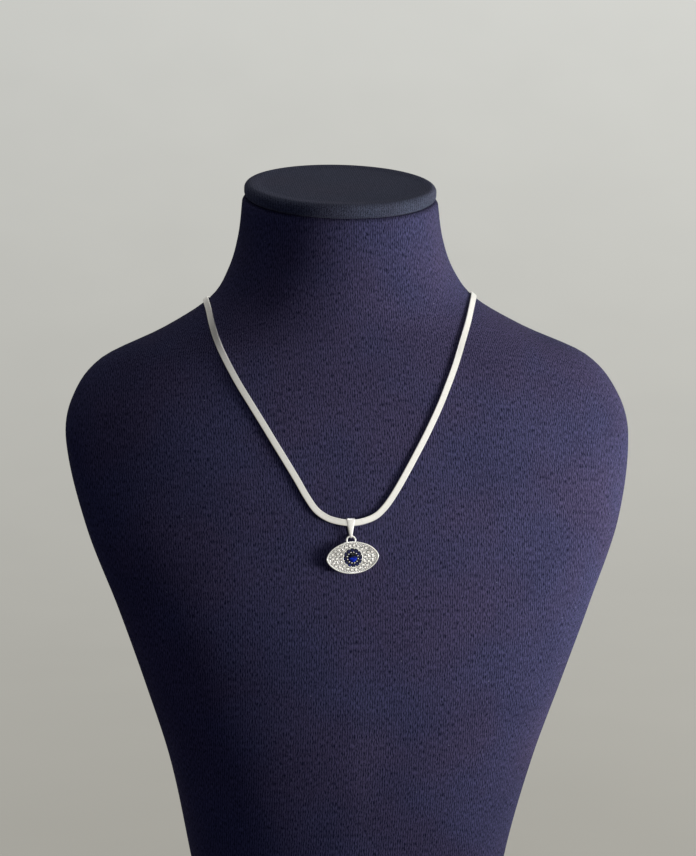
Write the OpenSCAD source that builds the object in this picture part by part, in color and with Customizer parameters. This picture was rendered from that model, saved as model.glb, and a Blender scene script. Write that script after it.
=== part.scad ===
// Eye necklace on a covered neck bust.
// The front faces -Y, +X is to the right as seen from the front, +Z is up.
// The origin is the middle of the bust's footprint, on the surface that it stands on.

/* [Neck bust] */
// Height of the middle of the neck's top, under the covered disc
bust_height = 290; // [250:1:320]
// Width across the shoulders
shoulder_width = 218; // [190:0.2:240]
// Depth from the chest to the shoulder blades
bust_depth = 104; // [96:1:112]
// Radius of the edge round the base
base_edge = 3; // [1:0.5:4]

/* [Neck cap] */
// Radius of the covered disc on the neck
cap_radius = 37.2; // [37:0.1:40]
// Thickness of the covered disc
cap_thickness = 5.4; // [4.5:0.1:8]
// Radius of the disc's rounded rim
cap_rim = 2.1; // [0.5:0.1:2.2]
// Gap under the disc
cap_gap = 0.1; // [0.05:0.05:0.3]

/* [Chain] */
// Width of the flat woven chain
band_width = 2.4; // [1.6:0.1:2.4]
// Thickness of the flat woven chain
band_thickness = 0.9; // [0.6:0.05:0.9]
// Rings of the chain's solid between two points of its route
band_steps = 5; // [4:1:6]
// Half the length of the clasp with its two end tabs
clasp_half = 9; // [8.5:0.1:10]

/* [Bail] */
// Width of the bail's strip at the top
bail_top_width = 3.3; // [2.6:0.1:3.6]
// Width of the bail's strip at the bottom
bail_bottom_width = 1.2; // [0.9:0.1:1.2]
// Thickness of the bail's strip
bail_strip = 0.32; // [0.25:0.01:0.34]

/* [Eye] */
// Width of the eye from corner to corner
eye_width = 19.4; // [19:0.1:21]
// Height of the eye
eye_height = 11.8; // [11.7:0.1:13]
// Height of the rim over the datum plane on the cloth
rim_top = 2.15; // [2.0:0.05:2.4]
// Width of the rim at the top and the bottom
rim_wall = 0.62; // [0.5:0.01:0.66]
// How far the eye hangs askew
eye_roll = 3.8; // [0:0.1:6]
// How much more upright the eye lies than the bail
eye_lean_step = 3.7; // [3:0.1:4.5]

/* [Stones] */
// Diameter of the middle stone
pupil_d = 3.2; // [2.8:0.1:3.3]
// Diameter of each stone in the ring round it
iris_d = 1.2; // [1.0:0.05:1.25]
// Radius of that ring, through the stones' middles
iris_r = 2.74; // [2.7:0.01:2.76]
// Number of stones in the ring
iris_count = 12; // [12:1:12]
// Diameter of the white stones
pave_d = 1.34; // [1.0:0.02:1.34]

/* [Hidden] */

navy = [0.16, 0.16, 0.28];
silver = [0.83, 0.83, 0.84];
sapphire = [0.05, 0.08, 0.5];
crystal = [0.93, 0.94, 0.96];

$fn = 48;

function iris_name(i) = str("iris_stone_", i < 10 ? "0" : "", i);

// Bust sections, each a two-part superellipse on a plane that tips forward by tilt. Their
// middles wander a little to the sides, as the stuffed bust does
HEIGHT = 0; MIDDLE_X = 1; MIDDLE_Y = 2; TILT = 3; HALF = 4; FRONT = 5; BACK = 6;
FRONT_ROUND = 7; BACK_ROUND = 8;
SECTIONS = [
    // height, middle x and y, tilt, half width, front, back, front roundness, back roundness
    [0,   -1,    1,    0,    56,    42,   40,   2.2,  2.6],
    [38,  -1.4, -2,    0,    62.3,  44,   45,   2.2,  2.6],
    [75,  -0.3, -6,    0,    70.6,  45,   50,   2.2,  2.6],
    [105,  0.4, -9,    0,    80.2,  43,   53,   2.2,  2.5],
    [136,  0.8, -10,   0,    91,    41,   55,   2.2,  2.4],
    [167,  0.8, -7,    0,    102.6, 39.5, 56,   2.1,  2.3],
    [198,  0.1,  1,    0,    109,   38,   50,   2,    2.2],
    [214, -0.4,  6,    0,    106.3, 37,   46,   2,    2.1],
    [229, -0.7,  10,   2,    94.7,  35.5, 41,   1.9,  2],
    [240, -0.9,  13,   4,    70.7,  34.5, 37.5, 1.9,  2],
    [251, -1.3,  15,   7,    52.1,  33.8, 36,   1.95, 2],
    [262, -1.9,  16,   9,    44.1,  34.7, 35.7, 2,    2],
    [275, -2.2,  16.5, 11,   39.8,  36,   35.7, 2,    2],
    [290, -2.4,  16,   12.4, 37.8,  36.5, 36,   2,    2]
];
section_last = len(SECTIONS) - 1;
bust_sides = 60;

// The table is drawn at these sizes and stretched to the ones asked for
drawn_height = 290;
drawn_width = 218;
drawn_depth = 104;
stretch_x = shoulder_width / drawn_width;
stretch_y = bust_depth / drawn_depth;
stretch_z = bust_height / drawn_height;

function section_slope(i) =
    let (a = SECTIONS[max(i - 1, 0)], b = SECTIONS[min(i + 1, section_last)])
    (b - a) / (b[HEIGHT] - a[HEIGHT]);

function section_below(h, i = 0) =
    i >= section_last - 1 || h < SECTIONS[i + 1][HEIGHT] ? i : section_below(h, i + 1);

// A section at any height, by a smooth curve through the table's rows
function section_at(h) =
    let (
        i = section_below(h),
        span = SECTIONS[i + 1][HEIGHT] - SECTIONS[i][HEIGHT],
        t = (h - SECTIONS[i][HEIGHT]) / span
    )
    (2 * t ^ 3 - 3 * t ^ 2 + 1) * SECTIONS[i]
        + (t ^ 3 - 2 * t ^ 2 + t) * span * section_slope(i)
        + (3 * t ^ 2 - 2 * t ^ 3) * SECTIONS[i + 1]
        + (t ^ 3 - t ^ 2) * span * section_slope(i + 1);

function signed_power(v, e) = sign(v) * pow(abs(v), e);

// A point of the bust's skin. The angle is -90 at the front and 0 at the right
function skin(angle, h) =
    let (
        s = section_at(h),
        front = sin(angle) < 0,
        e = 2 / (front ? s[FRONT_ROUND] : s[BACK_ROUND]),
        across = s[HALF] * signed_power(cos(angle), e),
        along = (front ? s[FRONT] : s[BACK]) * signed_power(sin(angle), e)
    )
    [
        stretch_x * (s[MIDDLE_X] + across),
        stretch_y * (s[MIDDLE_Y] + along * cos(s[TILT])),
        stretch_z * h + along * sin(s[TILT])
    ];

function unit(v) = v / norm(v);

function skin_normal(angle, h) =
    let (da = 0.05, dh = 0.05)
    unit(cross(
        skin(angle + da, h) - skin(angle - da, h),
        skin(angle, h + dh) - skin(angle, h - dh)
    ));

// Heights of the bust's rings: close together where the neck spreads into the shoulders
base_rings = 3;
ring_heights = concat(
    [for (h = [10 : 9 : 190]) h],
    [for (h = [198 : 3 : 270]) h],
    [for (h = [275 : 5 : 290]) h]
);

// Chain route on the skin: angle round the bust, height of the section, and lift of
// the chain's middle off the skin. It runs from the clasp by the left side to the front
REST_LIFT = band_thickness / 2 + 0.25;
BAIL_LIFT = 1.15;
CLASP_LIFT = 1.65;
nape_h = 241.5;
bail_angle = -93.3;
bail_h = 172.4;
tab_angle = asin(clasp_half / (stretch_x * section_at(nape_h)[HALF]));
ROUTE = [
    // angle, height, lift
    [-270 + tab_angle, nape_h,       CLASP_LIFT],
    [-253,             nape_h + 0.2, 1],
    [-238,             nape_h + 0.9, REST_LIFT],
    [-217,             245.2,        REST_LIFT],
    [-193,             249.4,        REST_LIFT],
    [-171.7,           250.3,        REST_LIFT],
    [-152.2,           245.9,        REST_LIFT],
    [-138.9,           240.5,        REST_LIFT],
    [-133.4,           237.7,        REST_LIFT],
    [-128.4,           234.8,        REST_LIFT],
    [-124.3,           231.9,        REST_LIFT],
    [-121.3,           229,          REST_LIFT],
    [-117,             222.9,        REST_LIFT],
    [-113.5,           216.8,        REST_LIFT],
    [-110.8,           211,          REST_LIFT],
    [-107.1,           199.8,        REST_LIFT],
    [-103.5,           188.4,        REST_LIFT],
    [-101.7,           182.3,        REST_LIFT],
    [-99.9,            177.3,        REST_LIFT],
    [-97.8,            174.4,        REST_LIFT + 0.05],
    [-95.6,            173,          0.95],
    [bail_angle,       bail_h,       BAIL_LIFT],
    [-91,              172.9,        0.95],
    [-88.8,            174.6,        REST_LIFT + 0.05],
    [-87.1,            177.3,        REST_LIFT],
    [-85.3,            181.3,        REST_LIFT],
    [-82.8,            187.9,        REST_LIFT],
    [-78.8,            199.1,        REST_LIFT],
    [-74.9,            210.2,        REST_LIFT],
    [-72.7,            216.1,        REST_LIFT],
    [-69.8,            222.2,        REST_LIFT],
    [-66.2,            228.3,        REST_LIFT],
    [-63.8,            231.4,        REST_LIFT],
    [-60.6,            234.4,        REST_LIFT],
    [-56.5,            237.4,        REST_LIFT],
    [-51.8,            240.4,        REST_LIFT],
    [-39.9,            246.1,        REST_LIFT],
    [-22.3,            251.1,        REST_LIFT],
    [-4,               252.2,        REST_LIFT],
    [16,               249.7,        REST_LIFT],
    [37,               245.4,        REST_LIFT],
    [58,               nape_h + 0.9, REST_LIFT],
    [73,               nape_h + 0.2, 1],
    [90 - tab_angle,   nape_h,       CLASP_LIFT]
];
route_last = len(ROUTE) - 1;

function smooth_step(a, b, c, d, t) =
    0.5 * (2 * b + (c - a) * t + (2 * a - 5 * b + 4 * c - d) * t ^ 2
        + (3 * b - a - 3 * c + d) * t ^ 3);

function route_at(s) =
    let (i = min(floor(s), route_last - 1))
    smooth_step(
        ROUTE[max(i - 1, 0)], ROUTE[i], ROUTE[i + 1], ROUTE[min(i + 2, route_last)], s - i
    );

function route_point(s) =
    let (r = route_at(s))
    skin(r[0], r[1]) + r[2] * skin_normal(r[0], r[1]);

// Half of the chain's cross-section: across and out, with its corners taken off
band_corner = 0.35;
band_edge = 0.22;
BAND_QUARTER = [
    [band_width / 2, band_edge],
    [band_width / 2 - band_corner, band_thickness / 2]
];
band_profile = concat(
    [for (p = BAND_QUARTER) p],
    [for (i = [1, 0]) [-BAND_QUARTER[i][0], BAND_QUARTER[i][1]]],
    [for (p = BAND_QUARTER) -p],
    [for (i = [1, 0]) [BAND_QUARTER[i][0], -BAND_QUARTER[i][1]]]
);

// Frames of the bail and the eye on the chest
bail_point = skin(bail_angle, bail_h);
bail_out = skin_normal(bail_angle, bail_h);
bail_lean = asin(bail_out[2]);
bail_turn = atan2(bail_out[0], -bail_out[1]);
eye_lean = bail_lean - eye_lean_step;

function lean_frame(lean, turn) = [
    [cos(turn), sin(turn), 0],
    [sin(turn) * cos(lean), -cos(turn) * cos(lean), sin(lean)],
    [-sin(turn) * sin(lean), cos(turn) * sin(lean), cos(lean)]
];

// The bail's side view: a big arc over the chain and a small one under the loop's wire.
// Each circle is the distance out from the skin, the height, and the inner radius
BAIL_TOP = [1.27, 0.74, 0.78];
BAIL_FOOT = [0.96, -5, 0.55];
bail_arc_steps = 12;

// The loop soldered on the eye, whose wire passes through the bail
loop_radius = 1.6;
loop_wire = 0.43;
loop_out = 0.95;
loop_centre = eye_height / 2 + 0.4;
loop_in_bail = [0, 0.86, -6.375];

function from_frame(f, p) = p[0] * f[0] + p[1] * f[1] + p[2] * f[2];

loop_point = bail_point + from_frame(lean_frame(bail_lean, bail_turn), loop_in_bail);
eye_point = loop_point - from_frame(
    lean_frame(eye_lean, bail_turn),
    [-loop_centre * sin(eye_roll), loop_out, loop_centre * cos(eye_roll)]
);

// Levels in the eye, as distances out from its datum plane on the cloth
eye_back = 0.25;
plate_top = 1.45;
pave_level = 1.72;
iris_level = 1.8;
pupil_level = 1.95;
collar_top = 2.1;
collar_inner = 3.4;
collar_outer = 3.66;
seat_gap = 0.12;
seat_depth = 0.1;
pupil_hole = 0.6;

// The almond outline: how flat its middle and how sharp its corners are
almond_flat = 2.05;
almond_sharp = 0.62;
almond_steps = 72;
corner_wall = rim_wall + 0.13;

function almond(w, h) = [
    for (i = [0 : almond_steps - 1])
        let (a = 360 * i / almond_steps, x = cos(a))
        [w * x, h * sign(sin(a)) * pow(max(1 - pow(abs(x), almond_flat), 0), almond_sharp)]
];

// Cut of a stone, as parts of its diameter
TABLE_PART = 0.29;
CROWN_PART = 0.15;
GIRDLE_PART = 0.02;
PAVILION_PART = 0.43;
PUPIL_PAVILION_PART = 0.4;

// White stones by arcs round the iris: radius, diameter, first angle, step, count, where
// an arc of fewer than all the way round is repeated in the other corner of the eye
pave_arcs = [
    [4.46, pave_d,        0,     20,   18],
    [5.92, pave_d,        -31.6, 15.8, 5],
    [7.38, pave_d,        -12.3, 12.3, 3],
    [8.48, pave_d * 0.42, 0,     0,    1],
    [5.72, pave_d * 0.67, -44,   88,   2]
];
pave_places = [
    for (arc = pave_arcs, k = [0 : arc[4] - 1], side = arc[4] * arc[3] == 360 ? [0] : [0, 180])
        let (a = side + arc[2] + k * arc[3])
        [arc[0] * cos(a), arc[0] * sin(a), arc[1]]
];
iris_places = [
    for (i = [0 : iris_count - 1])
        let (a = 90 - i * 360 / iris_count)
        [iris_r * cos(a), iris_r * sin(a), iris_d]
];

// Bead prongs of the iris: radius, wide end, narrow end
IRIS_BEADS = [
    [1.98, 0.24, 0.15],
    [3.25, 0.18, 0.12]
];

function ring_faces(rings, sides) = [
    for (r = [0 : rings - 2], k = [0 : sides - 1])
        let (a = r * sides + k, b = r * sides + (k + 1) % sides)
        each [[a, a + sides, b + sides], [a, b + sides, b]]
];

// A closed skin through rings of equal counts, flat at both ends
module ringed_solid(rings) {
    sides = len(rings[0]);
    last = (len(rings) - 1) * sides;
    polyhedron(
        points = [for (ring = rings) each ring],
        faces = concat(
            ring_faces(len(rings), sides),
            [[for (k = [0 : sides - 1]) k]],
            [[for (k = [sides - 1 : -1 : 0]) last + k]]
        ),
        convexity = 10
    );
}

module bust_form() {
    angles = [for (k = [0 : bust_sides - 1]) 360 * k / bust_sides];
    base = [
        for (i = [0 : base_rings])
            let (
                a = 90 * i / base_rings,
                h = base_edge * (1 - cos(a)) / stretch_z,
                part = 1 - base_edge * (1 - sin(a)) / SECTIONS[0][BACK],
                s = section_at(h),
                middle = [stretch_x * s[MIDDLE_X], stretch_y * s[MIDDLE_Y], stretch_z * h]
            )
            [for (t = angles) middle + part * (skin(t, h) - middle)]
    ];
    body = [for (h = ring_heights) [for (t = angles) skin(t, h)]];
    color(navy) ringed_solid(concat(base, body));
}

module neck_cap() {
    top = SECTIONS[section_last];
    corner_steps = 6;
    profile = concat(
        [[0, 0]],
        [for (i = [0 : corner_steps])
            let (a = -90 + 90 * i / corner_steps)
            [cap_radius - cap_rim + cap_rim * cos(a), cap_rim + cap_rim * sin(a)]],
        [for (i = [0 : corner_steps])
            let (a = 90 * i / corner_steps)
            [cap_radius - cap_rim + cap_rim * cos(a), cap_thickness - cap_rim + cap_rim * sin(a)]],
        [[0, cap_thickness]]
    );
    color(navy)
        translate([stretch_x * top[MIDDLE_X], stretch_y * top[MIDDLE_Y], stretch_z * top[HEIGHT]])
            rotate([top[TILT], 0, 0])
                translate([0, 0, cap_gap])
                    rotate_extrude($fn = 96) polygon(profile);
}

module chain_band() {
    count = route_last * band_steps;
    d = 0.02;
    rings = [
        for (k = [0 : count])
            let (
                s = k / band_steps,
                r = route_at(s),
                along = unit(route_point(min(s + d, route_last)) - route_point(max(s - d, 0))),
                across = unit(cross(skin_normal(r[0], r[1]), along)),
                out = cross(along, across),
                middle = route_point(s)
            )
            [for (p = band_profile) middle + p[0] * across + p[1] * out]
    ];
    color(silver) ringed_solid(rings);
}

// The clasp at the nape: end tabs, links and hook, soldered up as one plain piece
module clasp() {
    out = skin_normal(90, nape_h);
    tab_length = 2.6;
    tab_thickness = 1.5;
    middle = 1.25;
    link_at = clasp_half - tab_length - 0.9;
    hook_half = link_at - 1.1;
    hook_thickness = 1.7;
    color(silver)
        translate(skin(90, nape_h))
            rotate([asin(out[2]) - 90, 0, 0])
                translate([0, 0, middle]) {
                    for (side = [-1, 1]) {
                        translate([side * (clasp_half - 0.1 - tab_length / 2), 0, 0.15])
                            cube([tab_length, band_width + 0.5, tab_thickness], center = true);
                        translate([side * link_at, 0, 0])
                            rotate_extrude() translate([1.15, 0]) circle(r = 0.4, $fn = 16);
                    }
                    difference() {
                        translate([0, 0, -hook_thickness / 2])
                            linear_extrude(hook_thickness)
                                polygon(hook_outline(hook_half, 2.1, 1.2));
                        translate([-0.4, 0.2, -hook_thickness])
                            cylinder(h = 2 * hook_thickness, r = 0.95);
                    }
                }
}

// A drop shape along X: a round bow of radius wide and a round tip of radius narrow
function hook_outline(half, wide, narrow) =
    two_circle_outline([-half + wide, 0, wide], [half - narrow, 0, narrow], 10);

// The outline round two circles, each [x, y, radius], with arcs of the given steps
function two_circle_outline(a, b, steps) =
    let (
        gap = [a[0] - b[0], a[1] - b[1]],
        lie = atan2(gap[1], gap[0]),
        open = acos((a[2] - b[2]) / norm(gap))
    )
    concat(
        [for (i = [0 : steps])
            let (t = lie - open + 2 * open * i / steps)
            [a[0] + a[2] * cos(t), a[1] + a[2] * sin(t)]],
        [for (i = [0 : steps])
            let (t = lie + open + (360 - 2 * open) * i / steps)
            [b[0] + b[2] * cos(t), b[1] + b[2] * sin(t)]]
    );

function grown(circle, by) = [circle[0], circle[1], circle[2] + by];

module bail() {
    top = BAIL_TOP[1] + BAIL_TOP[2] + bail_strip;
    foot = BAIL_FOOT[1] - BAIL_FOOT[2] - bail_strip;
    color(silver)
        translate(bail_point) rotate([-bail_lean, 0, bail_turn]) intersection() {
            rotate([90, 0, -90]) linear_extrude(bail_top_width + 1, center = true) difference() {
                polygon(two_circle_outline(
                    grown(BAIL_TOP, bail_strip), grown(BAIL_FOOT, bail_strip), bail_arc_steps
                ));
                polygon(two_circle_outline(BAIL_TOP, BAIL_FOOT, bail_arc_steps));
            }
            rotate([90, 0, 0]) linear_extrude(8, center = true) polygon([
                [-bail_top_width / 2, top],
                [-bail_bottom_width / 2, foot],
                [bail_bottom_width / 2, foot],
                [bail_top_width / 2, top]
            ]);
        }
}

// Places its children in the eye: X across, Y up the chest, Z out from the cloth
module in_eye() {
    translate(eye_point)
        rotate([-eye_lean, 0, bail_turn])
            rotate([0, -eye_roll, 0])
                rotate([90, 0, 0])
                    children();
}

module slab(low, high, w, h) {
    translate([0, 0, low]) linear_extrude(high - low) polygon(almond(w, h));
}

// A cone seat under a stone, a little wider than the stone
module seat(place, level, pavilion) {
    r = place[2] / 2;
    depth = pavilion * place[2] + seat_depth;
    translate([place[0], place[1], level - depth])
        cylinder(h = depth, r1 = 0.03, r2 = r + seat_gap);
}

module eye_frame() {
    half_w = eye_width / 2;
    half_h = eye_height / 2;
    color(silver) in_eye() {
        difference() {
            union() {
                slab(eye_back, rim_top, half_w, half_h);
                translate([0, loop_centre, loop_out])
                    rotate_extrude() translate([loop_radius, 0]) circle(r = loop_wire, $fn = 24);
            }
            difference() {
                slab(plate_top, rim_top + 1, half_w - corner_wall, half_h - rim_wall);
                translate([0, 0, plate_top - 1]) cylinder(h = collar_top - plate_top + 1, r = collar_outer);
            }
            translate([0, 0, plate_top]) cylinder(h = rim_top, r = collar_inner);
            for (p = pave_places) seat(p, pave_level, PAVILION_PART);
            for (p = iris_places) seat(p, iris_level, PAVILION_PART);
            seat([0, 0, pupil_d], pupil_level, PUPIL_PAVILION_PART);
            cylinder(h = plate_top, r = pupil_hole);
        }
        for (bead = IRIS_BEADS, i = [0 : iris_count - 1])
            rotate([0, 0, (i + 0.5) * 360 / iris_count])
                translate([bead[0], 0, plate_top - 0.25])
                    cylinder(h = collar_top - plate_top + 0.25, r1 = bead[1], r2 = bead[2], $fn = 16);
    }
}

// A cut stone: a flat table, a crown, a thin girdle and a pointed pavilion
module cut_stone(place, level, sides, pavilion) {
    d = place[2];
    turn = 180 / sides;
    rings = [
        [for (k = [0 : sides - 1]) [0.02 * d, 360 * k / sides, -(pavilion + GIRDLE_PART / 2) * d]],
        [for (k = [0 : sides - 1]) [0.5 * d, 360 * k / sides, -GIRDLE_PART / 2 * d]],
        [for (k = [0 : sides - 1]) [0.5 * d, 360 * k / sides, GIRDLE_PART / 2 * d]],
        [for (k = [0 : sides - 1])
            [TABLE_PART * d, 360 * k / sides + turn, (CROWN_PART + GIRDLE_PART / 2) * d]]
    ];
    translate([place[0], place[1], level])
        ringed_solid([for (ring = rings) [for (p = ring) [p[0] * cos(p[1]), p[0] * sin(p[1]), p[2]]]]);
}

module pupil_stone() {
    color(sapphire) in_eye() cut_stone([0, 0, pupil_d], pupil_level, 16, PUPIL_PAVILION_PART);
}

module iris_stone(i) {
    color(sapphire) in_eye() cut_stone(iris_places[i - 1], iris_level, 8, PAVILION_PART);
}

module pave_stones() {
    color(crystal) in_eye() for (p = pave_places) cut_stone(p, pave_level, 8, PAVILION_PART);
}

bust_form();
neck_cap();
chain_band();
clasp();
bail();
eye_frame();
pupil_stone();
for (i = [1 : iris_count]) iris_stone(i);
pave_stones();
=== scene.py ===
"""The looks of an eye necklace on a covered neck bust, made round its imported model.

The front faces -Y, +X is to the right as seen from the front, and +Z is up. The classes
hold their sizes in millimetres and degrees, and new_piece turns millimetres into metres.
"""

import logging
import math
import random
from collections.abc import Iterable, Sequence
from dataclasses import dataclass, field
from enum import Enum
from itertools import accumulate
from typing import TypeVar

import bmesh
import bpy
from mathutils import Euler, Matrix, Vector


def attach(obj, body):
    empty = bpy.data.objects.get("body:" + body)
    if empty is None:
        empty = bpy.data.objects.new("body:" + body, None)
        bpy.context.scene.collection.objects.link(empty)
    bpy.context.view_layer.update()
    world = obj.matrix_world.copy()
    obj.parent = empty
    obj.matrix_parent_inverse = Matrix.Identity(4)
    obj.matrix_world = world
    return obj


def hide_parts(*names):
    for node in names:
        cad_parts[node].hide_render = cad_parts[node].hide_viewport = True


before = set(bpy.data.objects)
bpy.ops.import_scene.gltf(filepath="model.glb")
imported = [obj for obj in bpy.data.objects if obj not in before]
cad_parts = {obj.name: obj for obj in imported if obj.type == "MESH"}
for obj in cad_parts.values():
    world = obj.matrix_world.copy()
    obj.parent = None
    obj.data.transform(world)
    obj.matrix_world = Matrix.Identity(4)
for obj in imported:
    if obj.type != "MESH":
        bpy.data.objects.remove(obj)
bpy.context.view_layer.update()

MM = 0.001
BODY = "root"
DOUBLE = 0.0005
LOG = logging.getLogger("eye_necklace")
# The painted tone of each stone facet, standing in for glints and shade.
FACET_TONE = "facet_tone"
# The share of painted shade at each point of the eye's casting.
RECESS = "recess"
PILE_PLACE = "pile_place"

Colour = tuple[float, float, float]
Ring = list[Vector]
Piece = bpy.types.Object
Solid = bmesh.types.BMesh
Socket = bpy.types.NodeSocket
Outputs = bpy.types.NodeOutputs
Row = TypeVar("Row")


def sin(degrees: float) -> float:
    """The sine of an angle in degrees."""
    return math.sin(math.radians(degrees))


def cos(degrees: float) -> float:
    """The cosine of an angle in degrees."""
    return math.cos(math.radians(degrees))


def polar(reach: float, angle: float) -> tuple[float, float]:
    """The point (x, y) at this distance and angle."""
    return reach * cos(angle), reach * sin(angle)


def even(first: float, last: float, steps: int) -> list[float]:
    """Values from first to last in even steps."""
    return [first + (last - first) * i / steps for i in range(steps + 1)]


def turned(angle: float, axis: str) -> Matrix:
    """A turn round an axis."""
    return Matrix.Rotation(math.radians(angle), 4, axis)


def lengths(points: Sequence[Vector]) -> list[float]:
    """How far each point of a line lies from its start, along the line."""
    return [0.0, *accumulate((q - p).length for p, q in zip(points, points[1:]))]


def blended(rows: Sequence[Row], weights: Sequence[float]) -> Row:
    """A row of a table mixed from others, each by its weight."""
    keys = vars(rows[0])
    return type(rows[0])(*(sum(w * vars(row)[key] for w, row in zip(weights, rows)) for key in keys))


def signed_power(value: float, exponent: float) -> float:
    """The value's size raised to the exponent, with the value's own sign."""
    return math.copysign(abs(value) ** exponent, value)


def linked(name: str, data: bpy.types.ID) -> Piece:
    """Makes an object that shows this data and links it to the scene."""
    made = bpy.data.objects.new(name, data)
    bpy.context.scene.collection.objects.link(made)
    return made


def new_piece(name: str, points: Iterable[Vector], faces: list, crease: float = 180.0) -> Piece:
    """Makes a mesh object from points in millimetres.

    Args:
        name: The piece's name.
        points: Its points, in millimetres.
        faces: Its faces, as tuples of point numbers, anticlockwise from outside.
        crease: Edges that bend by more than this angle stay sharp, in degrees.

    Returns:
        The new object, linked to the scene, at the origin.
    """
    mesh = bpy.data.meshes.new(name)
    mesh.from_pydata([p * MM for p in points], [], faces)
    mesh.validate()
    piece = linked(name, mesh)
    shade(piece, crease)
    return piece


def shade(piece: Piece, crease: float) -> None:
    """Shades a piece smooth, apart from edges that bend by more than the crease angle."""
    piece.data.shade_smooth()
    piece.data.set_sharp_from_angle(angle=math.radians(crease))


def ring_faces(rings: int, sides: int, closed: bool = False) -> list[tuple[int, ...]]:
    """Faces that join rings of points, each with the same number of sides.

    Args:
        rings: How many rings there are.
        sides: How many points each ring has.
        closed: True if the last ring joins the first, as on a hoop, and False for two end caps.

    Returns:
        The faces, as tuples of point numbers.
    """
    faces = []
    for r in range(rings if closed else rings - 1):
        low, high = r * sides, (r + 1) % rings * sides
        for k in range(sides):
            n = (k + 1) % sides
            faces.append((low + k, low + n, high + n, high + k))
    if not closed:
        faces.append(tuple(reversed(range(sides))))
        faces.append(tuple(range((rings - 1) * sides, rings * sides)))
    return faces


def bake(piece: Piece) -> None:
    """Turns what a piece's modifiers give into its plain mesh, and removes the modifiers."""
    graph = bpy.context.evaluated_depsgraph_get()
    mesh = bpy.data.meshes.new_from_object(piece.evaluated_get(graph))
    piece.modifiers.clear()
    piece.data = mesh
    mesh.name = piece.name


def discard(piece: Piece) -> None:
    """Removes a helper object that isn't part of the scene."""
    bpy.data.objects.remove(piece)


def revolved(profile: Iterable[tuple[float, float]], sides: int) -> list[Vector]:
    """The points of a profile of (distance out, height) turned round Z, ring by ring."""
    turns = [360 * k / sides for k in range(sides)]
    return [Vector((*polar(out, a), height)) for out, height in profile for a in turns]


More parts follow.
